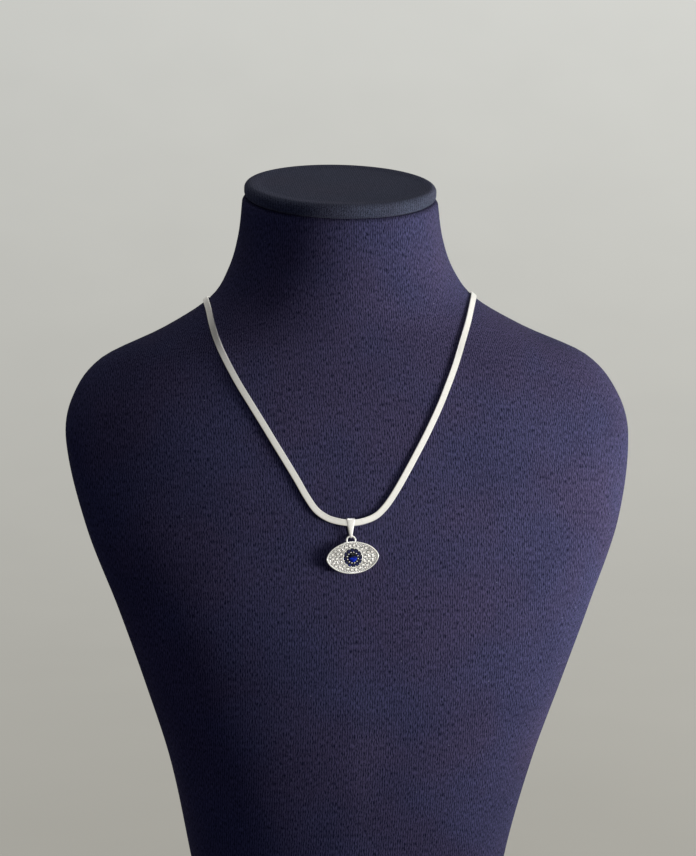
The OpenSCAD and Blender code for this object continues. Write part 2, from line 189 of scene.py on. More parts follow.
@dataclass
class Graph:
    """A node tree, with short calls to add nodes and join them."""

    tree: bpy.types.NodeTree

    def feed(self, node: bpy.types.Node, values: dict) -> None:
        """Gives a node's inputs, by name or number, a value, a colour, or a socket to join to it."""
        for key, value in values.items():
            if isinstance(value, Socket):
                self.tree.links.new(value, node.inputs[key])
            elif node.inputs[key].type == "RGBA":
                node.inputs[key].default_value = (*value, 1)
            else:
                node.inputs[key].default_value = value

    def add(self, kind: str, values: dict | None = None, **settings: object) -> bpy.types.Node:
        """Adds a node.

        Args:
            kind: The node's type.
            values: What each input gets, as in feed.
            settings: The node's own settings.

        Returns:
            The new node.
        """
        node = self.tree.nodes.new(kind)
        for name, setting in settings.items():
            setattr(node, name, setting)
        self.feed(node, values or {})
        return node

    def begin(self, takes: dict[str, str], gives: dict[str, str]) -> Outputs:
        """Adds a group's sockets, named with their kinds, and returns what the group takes."""
        for way, kinds in (("INPUT", takes), ("OUTPUT", gives)):
            for name, kind in kinds.items():
                self.tree.interface.new_socket(name, in_out=way, socket_type=f"NodeSocket{kind}")
        return self.add("NodeGroupInput").outputs

    def math(self, operation: str, *values: object) -> Socket:
        """Adds a math node and returns what it puts out."""
        return self.add("ShaderNodeMath", dict(enumerate(values)), operation=operation).outputs[0]

    def layered(self, base: object, *layers: tuple[object, float]) -> Socket:
        """Adds layers to a value, each times its own share."""
        for layer, share in layers:
            base = self.math("ADD", base, self.math("MULTIPLY", layer, share))
        return base

    def fineness(self, size: Socket) -> Socket:
        """How many times a size in millimetres goes into a metre."""
        return self.math("DIVIDE", 1 / MM, size)

    def product(self, *vectors: object) -> Socket:
        """Multiplies two vectors, part by part."""
        values = dict(enumerate(vectors))
        return self.add("ShaderNodeVectorMath", values, operation="MULTIPLY").outputs[0]

    def scaled(self, vector: object, scale: object) -> Socket:
        """Scales a vector or a colour."""
        values = {0: vector, "Scale": scale}
        return self.add("ShaderNodeVectorMath", values, operation="SCALE").outputs[0]

    def vector(self, x: object, y: object, z: object) -> Socket:
        """Joins three values into a vector."""
        return self.add("ShaderNodeCombineXYZ", {"X": x, "Y": y, "Z": z}).outputs[0]

    def mixed(self, share: object, low: object, high: object) -> Socket:
        """Mixes two colours."""
        return self.add("ShaderNodeMix", {0: share, 6: low, 7: high}, data_type="RGBA").outputs[2]

    def ranged(self, value: object, low: float, high: float, onto: tuple[float, float] = (0, 1)) -> Socket:
        """Maps the range from low to high onto another, and holds what lies outside at its ends."""
        values = {"Value": value, "From Min": low, "From Max": high, "To Min": onto[0], "To Max": onto[1]}
        return self.add("ShaderNodeMapRange", values).outputs["Result"]

    def place(self) -> Socket:
        """The place on the piece, in metres."""
        return self.add("ShaderNodeTexCoord").outputs["Object"]

    def noise(self, where: object, scale: object, detail: float = 3.0) -> Socket:
        """Adds a noise texture and returns its value."""
        values = {"Vector": where, "Scale": scale, "Detail": detail, "Roughness": 0.6}
        return self.add("ShaderNodeTexNoise", values).outputs["Fac"]

    def named(self, name: str, output: str = "Fac") -> Socket:
        """The mesh's own value of this name, in a shader."""
        return self.add("ShaderNodeAttribute", attribute_name=name).outputs[output]

    def stored(self, name: str, kind: str) -> Socket:
        """The mesh's own value of this name, in Geometry Nodes."""
        return self.add("GeometryNodeInputNamedAttribute", {"Name": name}, data_type=kind).outputs[0]

    def shape(self, source: Socket) -> Socket:
        """The shape of an object."""
        return self.add("GeometryNodeObjectInfo", {"Object": source}).outputs["Geometry"]

    def set_on_points(self, finish: Socket, values: dict) -> None:
        """Ends a Geometry Nodes tree: sets shapes on points, makes them real and gives them a finish.

        Args:
            finish: The finish.
            values: The points, the instance, and its turn or scale.
        """
        copies = self.add("GeometryNodeInstanceOnPoints", values).outputs[0]
        solid = self.add("GeometryNodeRealizeInstances", {0: copies}).outputs[0]
        dressed = self.add("GeometryNodeSetMaterial", {"Geometry": solid, "Material": finish}).outputs[0]
        self.add("NodeGroupOutput", {0: dressed})


SURFACE = {"Color": "Color", "Roughness": "Float", "Height": "Float"}


class Effect(Enum):
    """The shader effects that several finishes share, each built once as a node group."""

    CLOTH_GRAIN = "cloth_grain"
    METAL_WEAR = "metal_wear"
    STONE_DEPTH = "stone_depth"

    def outputs(self, graph: Graph, values: dict) -> Outputs:
        """Adds the effect to a material with these values, and returns what it puts out."""
        return graph.add("ShaderNodeGroup", values, node_tree=self.group()).outputs

    def group(self) -> bpy.types.NodeTree:
        """The effect's node group, built on its first use."""
        made = bpy.data.node_groups.get(self.value)
        if made is None:
            made = bpy.data.node_groups.new(self.value, "ShaderNodeTree")
            {
                Effect.CLOTH_GRAIN: build_shaded_cloth_grain,
                Effect.METAL_WEAR: build_worn_shaded_metal,
                Effect.STONE_DEPTH: build_stone_facet_light,
            }[self](Graph(made))
        return made


def build_shaded_cloth_grain(graph: Graph) -> None:
    """Fills the group of a short upright pile, with ribs, streaks, clumps and a few specks of lint; its
    colour is partly painted shade and light.

    Args:
        graph: The empty group. It takes the place on the cloth, with Z along its ribs, and
            sizes in millimetres, and puts out the pile's colour, roughness and height.
    """
    streak_share, clump_share, rib_share = 0.8, 0.1, 0.11
    lift_from, lift_to = 0.41, 0.59
    patch_scale, patch_least, patch_share, patch_height = 38.0, 0.75, 0.5, 0.2
    warmth_scale, warm_from, warm_to = 24.0, 0.4, 0.6
    lint_scale, lint_share, lint_radius = 330.0, 0.035, 0.085
    rib_bend, rib_bend_scale = 3.2, 2.2
    combed = 0.18
    sizes = ("Rib Pitch", "Streak Width", "Streak Length", "Clump Size")
    colours = ("Deep", "Raised", "Raised Warm", "Lint")
    takes = {"Place": "Vector", **dict.fromkeys(sizes, "Float"), **dict.fromkeys(colours, "Color")}
    given = graph.begin(takes, SURFACE)
    place = graph.place()
    across = graph.fineness(given["Streak Width"])
    along = graph.fineness(given["Streak Length"])
    streaks = graph.noise(graph.product(given["Place"], graph.vector(across, across, along)), 1.0, 1.5)
    wave_turn = math.tau / 20
    turn = graph.math("DIVIDE", wave_turn / MM, given["Rib Pitch"])
    rise = graph.math("MULTIPLY", along, wave_turn)
    wave = {
        "Vector": graph.product(given["Place"], graph.vector(turn, turn, rise)),
        "Scale": 1.0, "Distortion": rib_bend, "Detail": 1.0, "Detail Scale": rib_bend_scale
    }
    ribs = graph.add("ShaderNodeTexWave", wave, wave_type="BANDS", bands_direction="X").outputs["Fac"]
    clumps = graph.noise(place, graph.fineness(given["Clump Size"]), 1.0)
    patches = graph.noise(place, patch_scale, 1.0)
    streaky = graph.math("MULTIPLY", streaks, streak_share)
    pile = graph.layered(streaky, (clumps, clump_share), (ribs, rib_share))
    lift = graph.ranged(pile, lift_from, lift_to)
    patchy = graph.math("MULTIPLY", lift, graph.layered(patch_least, (patches, patch_share)))
    warmth = graph.ranged(graph.noise(place, warmth_scale, 2.0), warm_from, warm_to)
    raised = graph.mixed(warmth, given["Raised"], given["Raised Warm"])
    # Painted shade and light: the pile is darker where it lies low and lighter on its raised streaks and
    # ribs, over its own colour.
    tinted = graph.mixed(patchy, given["Deep"], raised)
    cells = graph.add("ShaderNodeTexVoronoi", {"Vector": place, "Scale": lint_scale}).outputs
    chance = graph.add("ShaderNodeSeparateColor", {"Color": cells["Color"]}).outputs["Red"]
    chosen = graph.math("GREATER_THAN", chance, 1.0 - lint_share)
    speck = graph.math("MULTIPLY", chosen, graph.math("LESS_THAN", cells["Distance"], lint_radius))
    graph.add("NodeGroupOutput", {
        "Color": graph.mixed(speck, tinted, given["Lint"]),
        "Roughness": graph.layered(1.0, (lift, -combed)),
        "Height": graph.layered(pile, (patches, patch_height)),
    })


def build_worn_shaded_metal(graph: Graph) -> None:
    """Fills the group of fine handling marks on polished metal, with painted shade in its recesses.

    Args:
        graph: The empty group. It takes the metal's clean colour, the colours of its dull
        spots and of the painted shade in its recesses, and its roughness. It puts out the
        worn and shaded colour, roughness and height. How much painted shade a place gets
        comes from the mesh's own value.
    """
    fine_scale, fine_rough = 7.0, 0.08
    scratch_bend, scratch_thinness, scratch_rough, scratch_height = 14.0, 14.0, 0.06, 0.4
    dull_from, dull_to, dull_most, dull_rough = 0.5, 0.75, 0.5, 0.1
    recess_rough = 0.3
    takes = {"Clean": "Color", "Dull": "Color", "Tarnish": "Color", "Polish": "Float", "Mark Size": "Float"}
    given = graph.begin(takes, SURFACE)
    place = graph.place()
    size = graph.fineness(given["Mark Size"])
    fine = graph.noise(place, graph.math("MULTIPLY", size, fine_scale), 2.0)
    wave = {"Vector": place, "Scale": size, "Distortion": scratch_bend, "Detail": 3.0}
    lines = graph.add("ShaderNodeTexWave", wave, wave_type="BANDS").outputs["Fac"]
    scratches = graph.math("POWER", lines, scratch_thinness)
    dulled = graph.math("MULTIPLY", graph.ranged(graph.noise(place, size), dull_from, dull_to), dull_most)
    worn = graph.mixed(dulled, given["Clean"], given["Dull"])
    # Painted shade: the casting's recesses are darkened towards the shade colour by the mesh's own value.
    recess = graph.named(RECESS)
    rough = graph.layered(given["Polish"], (fine, fine_rough), (scratches, scratch_rough))
    graph.add("NodeGroupOutput", {
        "Color": graph.mixed(recess, worn, given["Tarnish"]),
        "Roughness": graph.layered(rough, (dulled, dull_rough), (recess, recess_rough)),
        "Height": graph.layered(fine, (scratches, scratch_height)),
    })


def build_stone_facet_light(graph: Graph) -> None:
    """Fills the group of the painted play of light and dark over a cut stone's facets.

    Args:
        graph: The empty group. It takes two colours and puts out a colour and a roughness.
            How light each face is comes from the face's own value.
    """
    veil_share, film_scale, film_rough = 0.6, 5.0, 0.06
    takes = {"Light": "Color", "Dark": "Color", "Cloud Size": "Float"}
    given = graph.begin(takes, {"Color": "Color", "Roughness": "Float"})
    place = graph.place()
    size = graph.fineness(given["Cloud Size"])
    veil = graph.math("SUBTRACT", graph.noise(place, size, 2.0), 0.5)
    share = graph.layered(graph.named(FACET_TONE), (veil, veil_share))
    film = graph.noise(place, graph.math("MULTIPLY", size, film_scale), 2.0)
    graph.add("NodeGroupOutput", {
        "Color": graph.mixed(share, given["Dark"], given["Light"]),
        "Roughness": graph.math("MULTIPLY", film, film_rough),
    })


@dataclass(frozen=True)
class Finish:
    """A finish of one material slot. Each kind of finish paints its own nodes.

    Its name differs from every slot's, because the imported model's plain materials have those.
    """

    name: str
    slot: str

    def paint(self, graph: Graph, shader: bpy.types.Node) -> None:
        """Adds the finish's own nodes in front of the shader.

        Args:
            graph: The material's tree.
            shader: Its shader.
        """
        raise NotImplementedError

    @staticmethod
    def surface(graph: Graph, shader: bpy.types.Node, look: Outputs, depth: float, strength: float) -> None:
        """Joins an effect's colour, roughness and height to a shader.

        Args:
            graph: The material's tree.
            shader: The shader.
            look: What the effect puts out.
            depth: How deep its bumps are, in millimetres.
            strength: How strongly they show.
        """
        bump = {"Height": look["Height"], "Distance": depth * MM, "Strength": strength}
        graph.feed(shader, {
            "Base Color": look["Color"],
            "Roughness": look["Roughness"],
            "Normal": graph.add("ShaderNodeBump", bump).outputs["Normal"],
        })

    def material(self) -> bpy.types.Material:
        """The finish's material, built on its first use."""
        made = bpy.data.materials.get(self.name)
        if made is None:
            made = bpy.data.materials.new(self.name)
            made.use_nodes = True
            self.paint(Graph(made.node_tree), made.node_tree.nodes["Principled BSDF"])
        return made

    def dress(self, piece: Piece, *nodes: str) -> None:
        """Puts the finish on a piece and tells the frame where it belongs.

        Args:
            piece: The finished piece.
            nodes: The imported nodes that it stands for.
        """
        piece.data.materials.clear()
        piece.data.materials.append(self.material())
        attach(piece, BODY)
        if nodes:
            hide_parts(*nodes)
        LOG.info("%s: %d faces, %s", piece.name, len(piece.data.polygons), self.name)


@dataclass(frozen=True)
class ClothFinish(Finish):
    """A short-piled cloth, whose colour is partly painted shade and light of its pile."""

    deep: Colour
    raised: Colour
    raised_warm: Colour
    lint: Colour = (0.12, 0.12, 0.17)
    gloss: float = 0.1
    sheen: float = 0.06
    sheen_tint: Colour = (0.7, 0.68, 1.0)
    sheen_roughness: float = 0.5
    follows_skin: bool = True
    rib_pitch: float = 0.9
    streak_width: float = 0.2
    streak_length: float = 1.6
    clump_size: float = 0.9
    bump_depth: float = 0.12
    bump_strength: float = 0.9

    def paint(self, graph: Graph, shader: bpy.types.Node) -> None:
        """Colours the pile by its grain, partly with painted shade and light, and gives it a soft sheen at
        its edges.
        """
        grain = Effect.CLOTH_GRAIN.outputs(graph, {
            "Place": graph.named(PILE_PLACE, "Vector") if self.follows_skin else graph.place(),
            "Rib Pitch": self.rib_pitch,
            "Streak Width": self.streak_width,
            "Streak Length": self.streak_length,
            "Clump Size": self.clump_size,
            "Deep": self.deep,
            "Raised": self.raised,
            "Raised Warm": self.raised_warm,
            "Lint": self.lint,
        })
        self.surface(graph, shader, grain, self.bump_depth, self.bump_strength)
        graph.feed(shader, {
            "Specular IOR Level": self.gloss,
            "Sheen Weight": self.sheen,
            "Sheen Roughness": self.sheen_roughness,
            "Sheen Tint": self.sheen_tint,
        })


@dataclass(frozen=True)
class MetalFinish(Finish):
    """A polished metal with fine handling marks and painted shade in its recesses."""

    polish: float
    clean: Colour = (0.96, 0.93, 0.9)
    dull: Colour = (0.79, 0.765, 0.74)
    # The colour of the painted shade in the recesses.
    recess_shade: Colour = (0.03, 0.028, 0.032)
    mark_size: float = 0.6
    bump_depth: float = 0.004
    bump_strength: float = 0.6

    def paint(self, graph: Graph, shader: bpy.types.Node) -> None:
        """Colours and roughens the metal by its handling marks, and paints shade into its recesses."""
        wear_and_shade = Effect.METAL_WEAR.outputs(graph, {
            "Clean": self.clean,
            "Dull": self.dull,
            "Tarnish": self.recess_shade,
            "Polish": self.polish,
            "Mark Size": self.mark_size,
        })
        self.surface(graph, shader, wear_and_shade, self.bump_depth, self.bump_strength)
        graph.feed(shader, {"Metallic": 1.0})


@dataclass(frozen=True)
class StoneFinish(Finish):
    """A cut stone. Its facets differ in painted tone, which stands in for glints and shade, by chance and
    by their place in the stone.

    The foil behind it is how far its facets mirror the room as metal does.
    """

    light: Colour
    dark: Colour
    tone: float
    scatter: float
    clearness: float
    gloss: float
    fall: float = 0.0
    edge_shade: float = 0.0
    edge_from: float = 0.3
    bend: float = 1.77
    foil: float = 0.0
    cloud_size: float = 0.5

    def facet_tones(self, corners: list[Vector], chance: random.Random) -> list[float]:
        """How light a facet is painted at each of its corners: 0 is dark and 1 is light.

        Args:
            corners: Its corners' places, as parts of the stone's diameter from its middle.
            chance: What the facet's own share comes from.

        Returns:
            A tone for each corner. Past 0 and 1 it counts as 0 and 1.
        """
        middle = sum(corners, Vector()) / len(corners)
        # Painted shade: a facet goes darker towards the stone's edge, and by fall towards its top.
        outer = max(math.hypot(middle.x, middle.y) - self.edge_from, 0.0) / (0.5 - self.edge_from)
        tone = self.tone + chance.uniform(-self.scatter, self.scatter) - self.edge_shade * outer
        return [tone - self.fall * corner.y for corner in corners]

    def paint(self, graph: Graph, shader: bpy.types.Node) -> None:
        """Colours the stone and lets light through it."""
        values = {"Light": self.light, "Dark": self.dark, "Cloud Size": self.cloud_size}
        depth = Effect.STONE_DEPTH.outputs(graph, values)
        graph.feed(shader, {
            "Base Color": depth["Color"],
            "Roughness": depth["Roughness"],
            "IOR": self.bend,
            "Specular IOR Level": self.gloss,
            "Transmission Weight": self.clearness,
            "Metallic": self.foil,
        })


NAVY_CLOTH = ClothFinish(
    "navy_pile_cloth", "bust_cloth", deep=(0.008, 0.008, 0.021), raised=(0.067, 0.066, 0.132),
    raised_warm=(0.076, 0.065, 0.124), gloss=0.03, sheen=0.02
)
CAP_CLOTH = ClothFinish(
    "cap_pile_cloth", "cap_cloth", deep=(0.017, 0.019, 0.03), raised=(0.064, 0.073, 0.105),
    raised_warm=(0.069, 0.071, 0.1), follows_skin=False, streak_width=0.27, streak_length=0.42
)
CHAIN_SILVER = MetalFinish("woven_silver", "chain_silver", polish=0.26, mark_size=0.9)
CLASP_SILVER = MetalFinish("polished_clasp_silver", "clasp_silver", polish=0.14)
BAIL_SILVER = MetalFinish(
    "polished_bail_silver", "bail_silver", polish=0.24, clean=(1.0, 0.97, 0.95), dull=(0.88, 0.84, 0.82),
    mark_size=1.2
)
FRAME_SILVER = MetalFinish(
    "polished_frame_silver", "frame_silver", polish=0.1, clean=(0.98, 0.97, 0.96), dull=(0.82, 0.81, 0.8)
)
# The stones' facets carry painted glints and shade: the blue ones darken towards their tops, and the white
# ones towards their edges.
ROYAL_BLUE = StoneFinish(
    "royal_blue_stone", "pupil_blue", light=(0.0, 0.018, 0.42), dark=(0.0, 0.002, 0.006),
    tone=0.4, scatter=0.2, fall=3.2, clearness=0.05, gloss=0.05
)
DARK_BLUE = StoneFinish(
    "dark_blue_stone", "iris_blue", light=(0.006, 0.012, 0.16), dark=(0.001, 0.001, 0.014),
    tone=0.35, scatter=0.4, fall=0.6, clearness=0.15, gloss=0.14
)
WHITE_STONE = StoneFinish(
    "clear_white_stone", "white_stone", light=(1.0, 0.97, 0.94), dark=(0.1, 0.095, 0.09),
    tone=1.0, scatter=0.6, edge_shade=0.5, bend=2.0, clearness=0.2, foil=0.85, gloss=0.5
)


@dataclass(frozen=True)
class Section:
    """A level of the bust: a two-part superellipse on a plane that tips forward by tilt."""

    height: float
    middle_x: float
    middle_y: float
    tilt: float
    half: float
    front: float
    back: float
    front_round: float
    back_round: float


@dataclass
class NeckBust:
    """The bust's form and its cloth, from the floor to the top of the neck."""

    sections: tuple[Section, ...] = (
        Section(0, -1, 1, 0, 56, 42, 40, 2.2, 2.6),
        Section(38, -1.4, -2, 0, 62.3, 44, 45, 2.2, 2.6),
        Section(75, -0.3, -6, 0, 70.6, 45, 50, 2.2, 2.6),
        Section(105, 0.4, -9, 0, 80.2, 43, 53, 2.2, 2.5),
        Section(136, 0.8, -10, 0, 91, 41, 55, 2.2, 2.4),
        Section(167, 0.8, -7, 0, 102.6, 39.5, 56, 2.1, 2.3),
        Section(198, 0.1, 1, 0, 109, 38, 50, 2, 2.2),
        Section(214, -0.4, 6, 0, 106.3, 37, 46, 2, 2.1),
        Section(229, -0.7, 10, 2, 94.7, 35.5, 41, 1.9, 2),
        Section(240, -0.9, 13, 4, 70.7, 34.5, 37.5, 1.9, 2),
        Section(251, -1.3, 15, 7, 52.1, 33.8, 36, 1.95, 2),
        Section(262, -1.9, 16, 9, 44.1, 34.7, 35.7, 2, 2),
        Section(275, -2.2, 16.5, 11, 39.8, 36, 35.7, 2, 2),
        Section(290, -2.4, 16, 12.4, 37.8, 36.5, 36, 2, 2),
    )
    base_edge: float = 3.0
    neck_edge: float = 1.7
    edge_rings: int = 6
    ring_step: float = 2.2
    sides: int = 240
    fine: int = 180
    finish: ClothFinish = NAVY_CLOTH

    def section_at(self, height: float) -> Section:
        """Finds the section at any height, by a smooth curve through the table's rows.

        Args:
            height: The height over the floor.

        Returns:
            The section there.
        """
        rows = self.sections
        i = max(k for k in range(len(rows) - 1) if k == 0 or rows[k].height <= height)
        span = rows[i + 1].height - rows[i].height
        t = (height - rows[i].height) / span
        weights = {k: 0.0 for k in (i - 1, i, i + 1, i + 2)}
        weights[i] += 2 * t**3 - 3 * t**2 + 1
        weights[i + 1] += 3 * t**2 - 2 * t**3
        for at, share in ((i, t**3 - 2 * t**2 + t), (i + 1, t**3 - t**2)):
            low, high = max(at - 1, 0), min(at + 1, len(rows) - 1)
            slope = share * span / (rows[high].height - rows[low].height)
            weights[low] -= slope
            weights[high] += slope
        used = [k for k, weight in weights.items() if weight]
        return blended([rows[k] for k in used], [weights[k] for k in used])

    def point(self, angle: float, height: float) -> Vector:
        """A point of the skin. The angle is -90 at the front and 0 at the right."""
        return self.section_point(self.section_at(height), angle, height)

    @staticmethod
    def section_point(section: Section, angle: float, height: float) -> Vector:
        """A point of the skin on a section that is already worked out."""
        front = sin(angle) < 0
        exponent = 2 / (section.front_round if front else section.back_round)
        across = section.middle_x + section.half * signed_power(cos(angle), exponent)
        along = (section.front if front else section.back) * signed_power(sin(angle), exponent)
        deep, rise = along * cos(section.tilt), along * sin(section.tilt)
        return Vector((across, section.middle_y + deep, height + rise))

    def normal(self, angle: float, height: float, step: float = 0.05) -> Vector:
        """The direction straight out of the skin."""
        around = self.point(angle + step, height) - self.point(angle - step, height)
        up = self.point(angle, height + step) - self.point(angle, height - step)
        return around.cross(up).normalized()

    def ring(self, height: float, inset: float = 0.0) -> Ring:
        """Lays a ring of the skin. The points of each quarter are evenly spaced.

        Args:
            height: The ring's height.
            inset: How far it is drawn in towards its middle.

        Returns:
            Its points, from the right round by the back. Quarters meet at the sides, front and back.
        """
        section = self.section_at(height)
        middle = Vector((section.middle_x, section.middle_y, height))
        part = 1 - inset / section.front
        count = self.sides // 4
        ring = []
        for start in (0, 90, 180, 270):
            turns = even(start, start + 90, self.fine)
            reach = lengths([self.section_point(section, turn, height) for turn in turns])
            at = 0
            for k in range(count):
                goal = reach[-1] * k / count
                while reach[at + 1] < goal:
                    at += 1
                share = (goal - reach[at]) / (reach[at + 1] - reach[at])
                turn = turns[at] + share * (turns[at + 1] - turns[at])
                ring.append(middle + part * (self.section_point(section, turn, height) - middle))
        return ring

    def rings(self) -> list[Ring]:
        """All rings, with the edges round the base and round the neck's top turned over."""
        top = self.sections[-1].height
        turns = even(0, 90, self.edge_rings)
        base = [self.ring(self.base_edge * (1 - cos(a)), self.base_edge * (1 - sin(a))) for a in turns]
        neck = [
            self.ring(top - self.neck_edge * (1 - sin(a)), self.neck_edge * (1 - cos(a))) for a in turns
        ]
        span = top - self.neck_edge - self.base_edge
        count = round(span / self.ring_step)
        sides = [self.ring(self.base_edge + span * i / count) for i in range(1, count)]
        return [*base, *sides, *neck]

    def build(self) -> None:
        """Makes the cloth-covered form and dresses it."""
        rings = self.rings()
        points = [p for ring in rings for p in ring]
        skin = new_piece("bust_cloth_skin", points, ring_faces(len(rings), self.sides), crease=60)
        self.lay_cloth(skin, rings)
        self.finish.dress(skin, "bust_form")

    def lay_cloth(self, skin: Piece, rings: list[Ring]) -> None:
        """Gives each corner of the skin its place on the cloth, which is laid on from the front.

        Args:
            skin: The skin, made of the rings.
            rings: Its rings, from the base up. Each starts at the right and runs to the back.
        """
        half = self.sides // 2
        front, back = self.sides * 3 // 4, self.sides // 4
        around = []
        for ring in rings:
            turned = [ring[(front + j) % self.sides] for j in range(-half, half + 1)]
            reach = lengths(turned)
            around.append([value - reach[half] for value in reach])
        up = list(zip(*(lengths(column) for column in zip(*rings))))
        place = skin.data.attributes.new(PILE_PLACE, "FLOAT_VECTOR", "CORNER")
        for face in skin.data.polygons:
            if len(face.vertices) != 4:
                continue
            columns = {vertex % self.sides for vertex in face.vertices}
            first = max(columns) if columns == {0, self.sides - 1} else min(columns)
            shift = self.sides - front if first < back else -front
            for loop, vertex in zip(face.loop_indices, face.vertices):
                row, k = divmod(vertex, self.sides)
                j = first + (k - first) % self.sides + shift
                place.data[loop].vector = Vector((around[row][j + half], 0, up[row][k])) * MM


@dataclass
class NeckCap:
    """The covered disc on the neck, tipped forward with the neck's top."""

    bust: NeckBust
    radius: float = 37.2
    thickness: float = 5.4
    rim: float = 2.1
    gap: float = 0.1
    dish: float = 0.35
    dish_width: float = 6.0
    under_part: float = 0.5
    top_part: float = 0.4
    corner_steps: int = 7
    dish_steps: int = 8
    sides: int = 240
    finish: ClothFinish = CAP_CLOTH

    def profile(self) -> list[tuple[float, float]]:
        """The disc's half outline as (distance from the middle, height), from below to above."""
        inner = self.radius - self.rim
        turns = even(0, 90, self.corner_steps)
        low = [(inner + self.rim * sin(a), self.rim * (1 - cos(a))) for a in turns]
        high = [(inner + self.rim * cos(a), self.thickness - self.rim * (1 - sin(a))) for a in turns]
        dip = []
        for i in range(1, self.dish_steps + 1):
            t = i / self.dish_steps
            fall = self.dish * (1 - cos(180 * t)) / 2
            dip.append((inner - self.dish_width * t, self.thickness - fall))
        top = (inner * self.top_part, self.thickness - self.dish)
        return [(inner * self.under_part, 0.0), *low, *high, *dip, top]

    def build(self) -> None:
        """Makes the covered disc and dresses it."""
        top = self.bust.sections[-1]
        place = Matrix.Translation((top.middle_x, top.middle_y, top.height))
        place = place @ turned(top.tilt, "X") @ Matrix.Translation((0, 0, self.gap))
        profile = self.profile()
        points = [place @ p for p in revolved(profile, self.sides)]
        skin = new_piece("cap_cloth_skin", points, ring_faces(len(profile), self.sides), crease=60)
        self.finish.dress(skin, "neck_cap")


@dataclass(frozen=True)
class Station:
    """A point of the chain's route: the angle and height on the skin, and the lift off it."""

    angle: float
    height: float
    lift: float


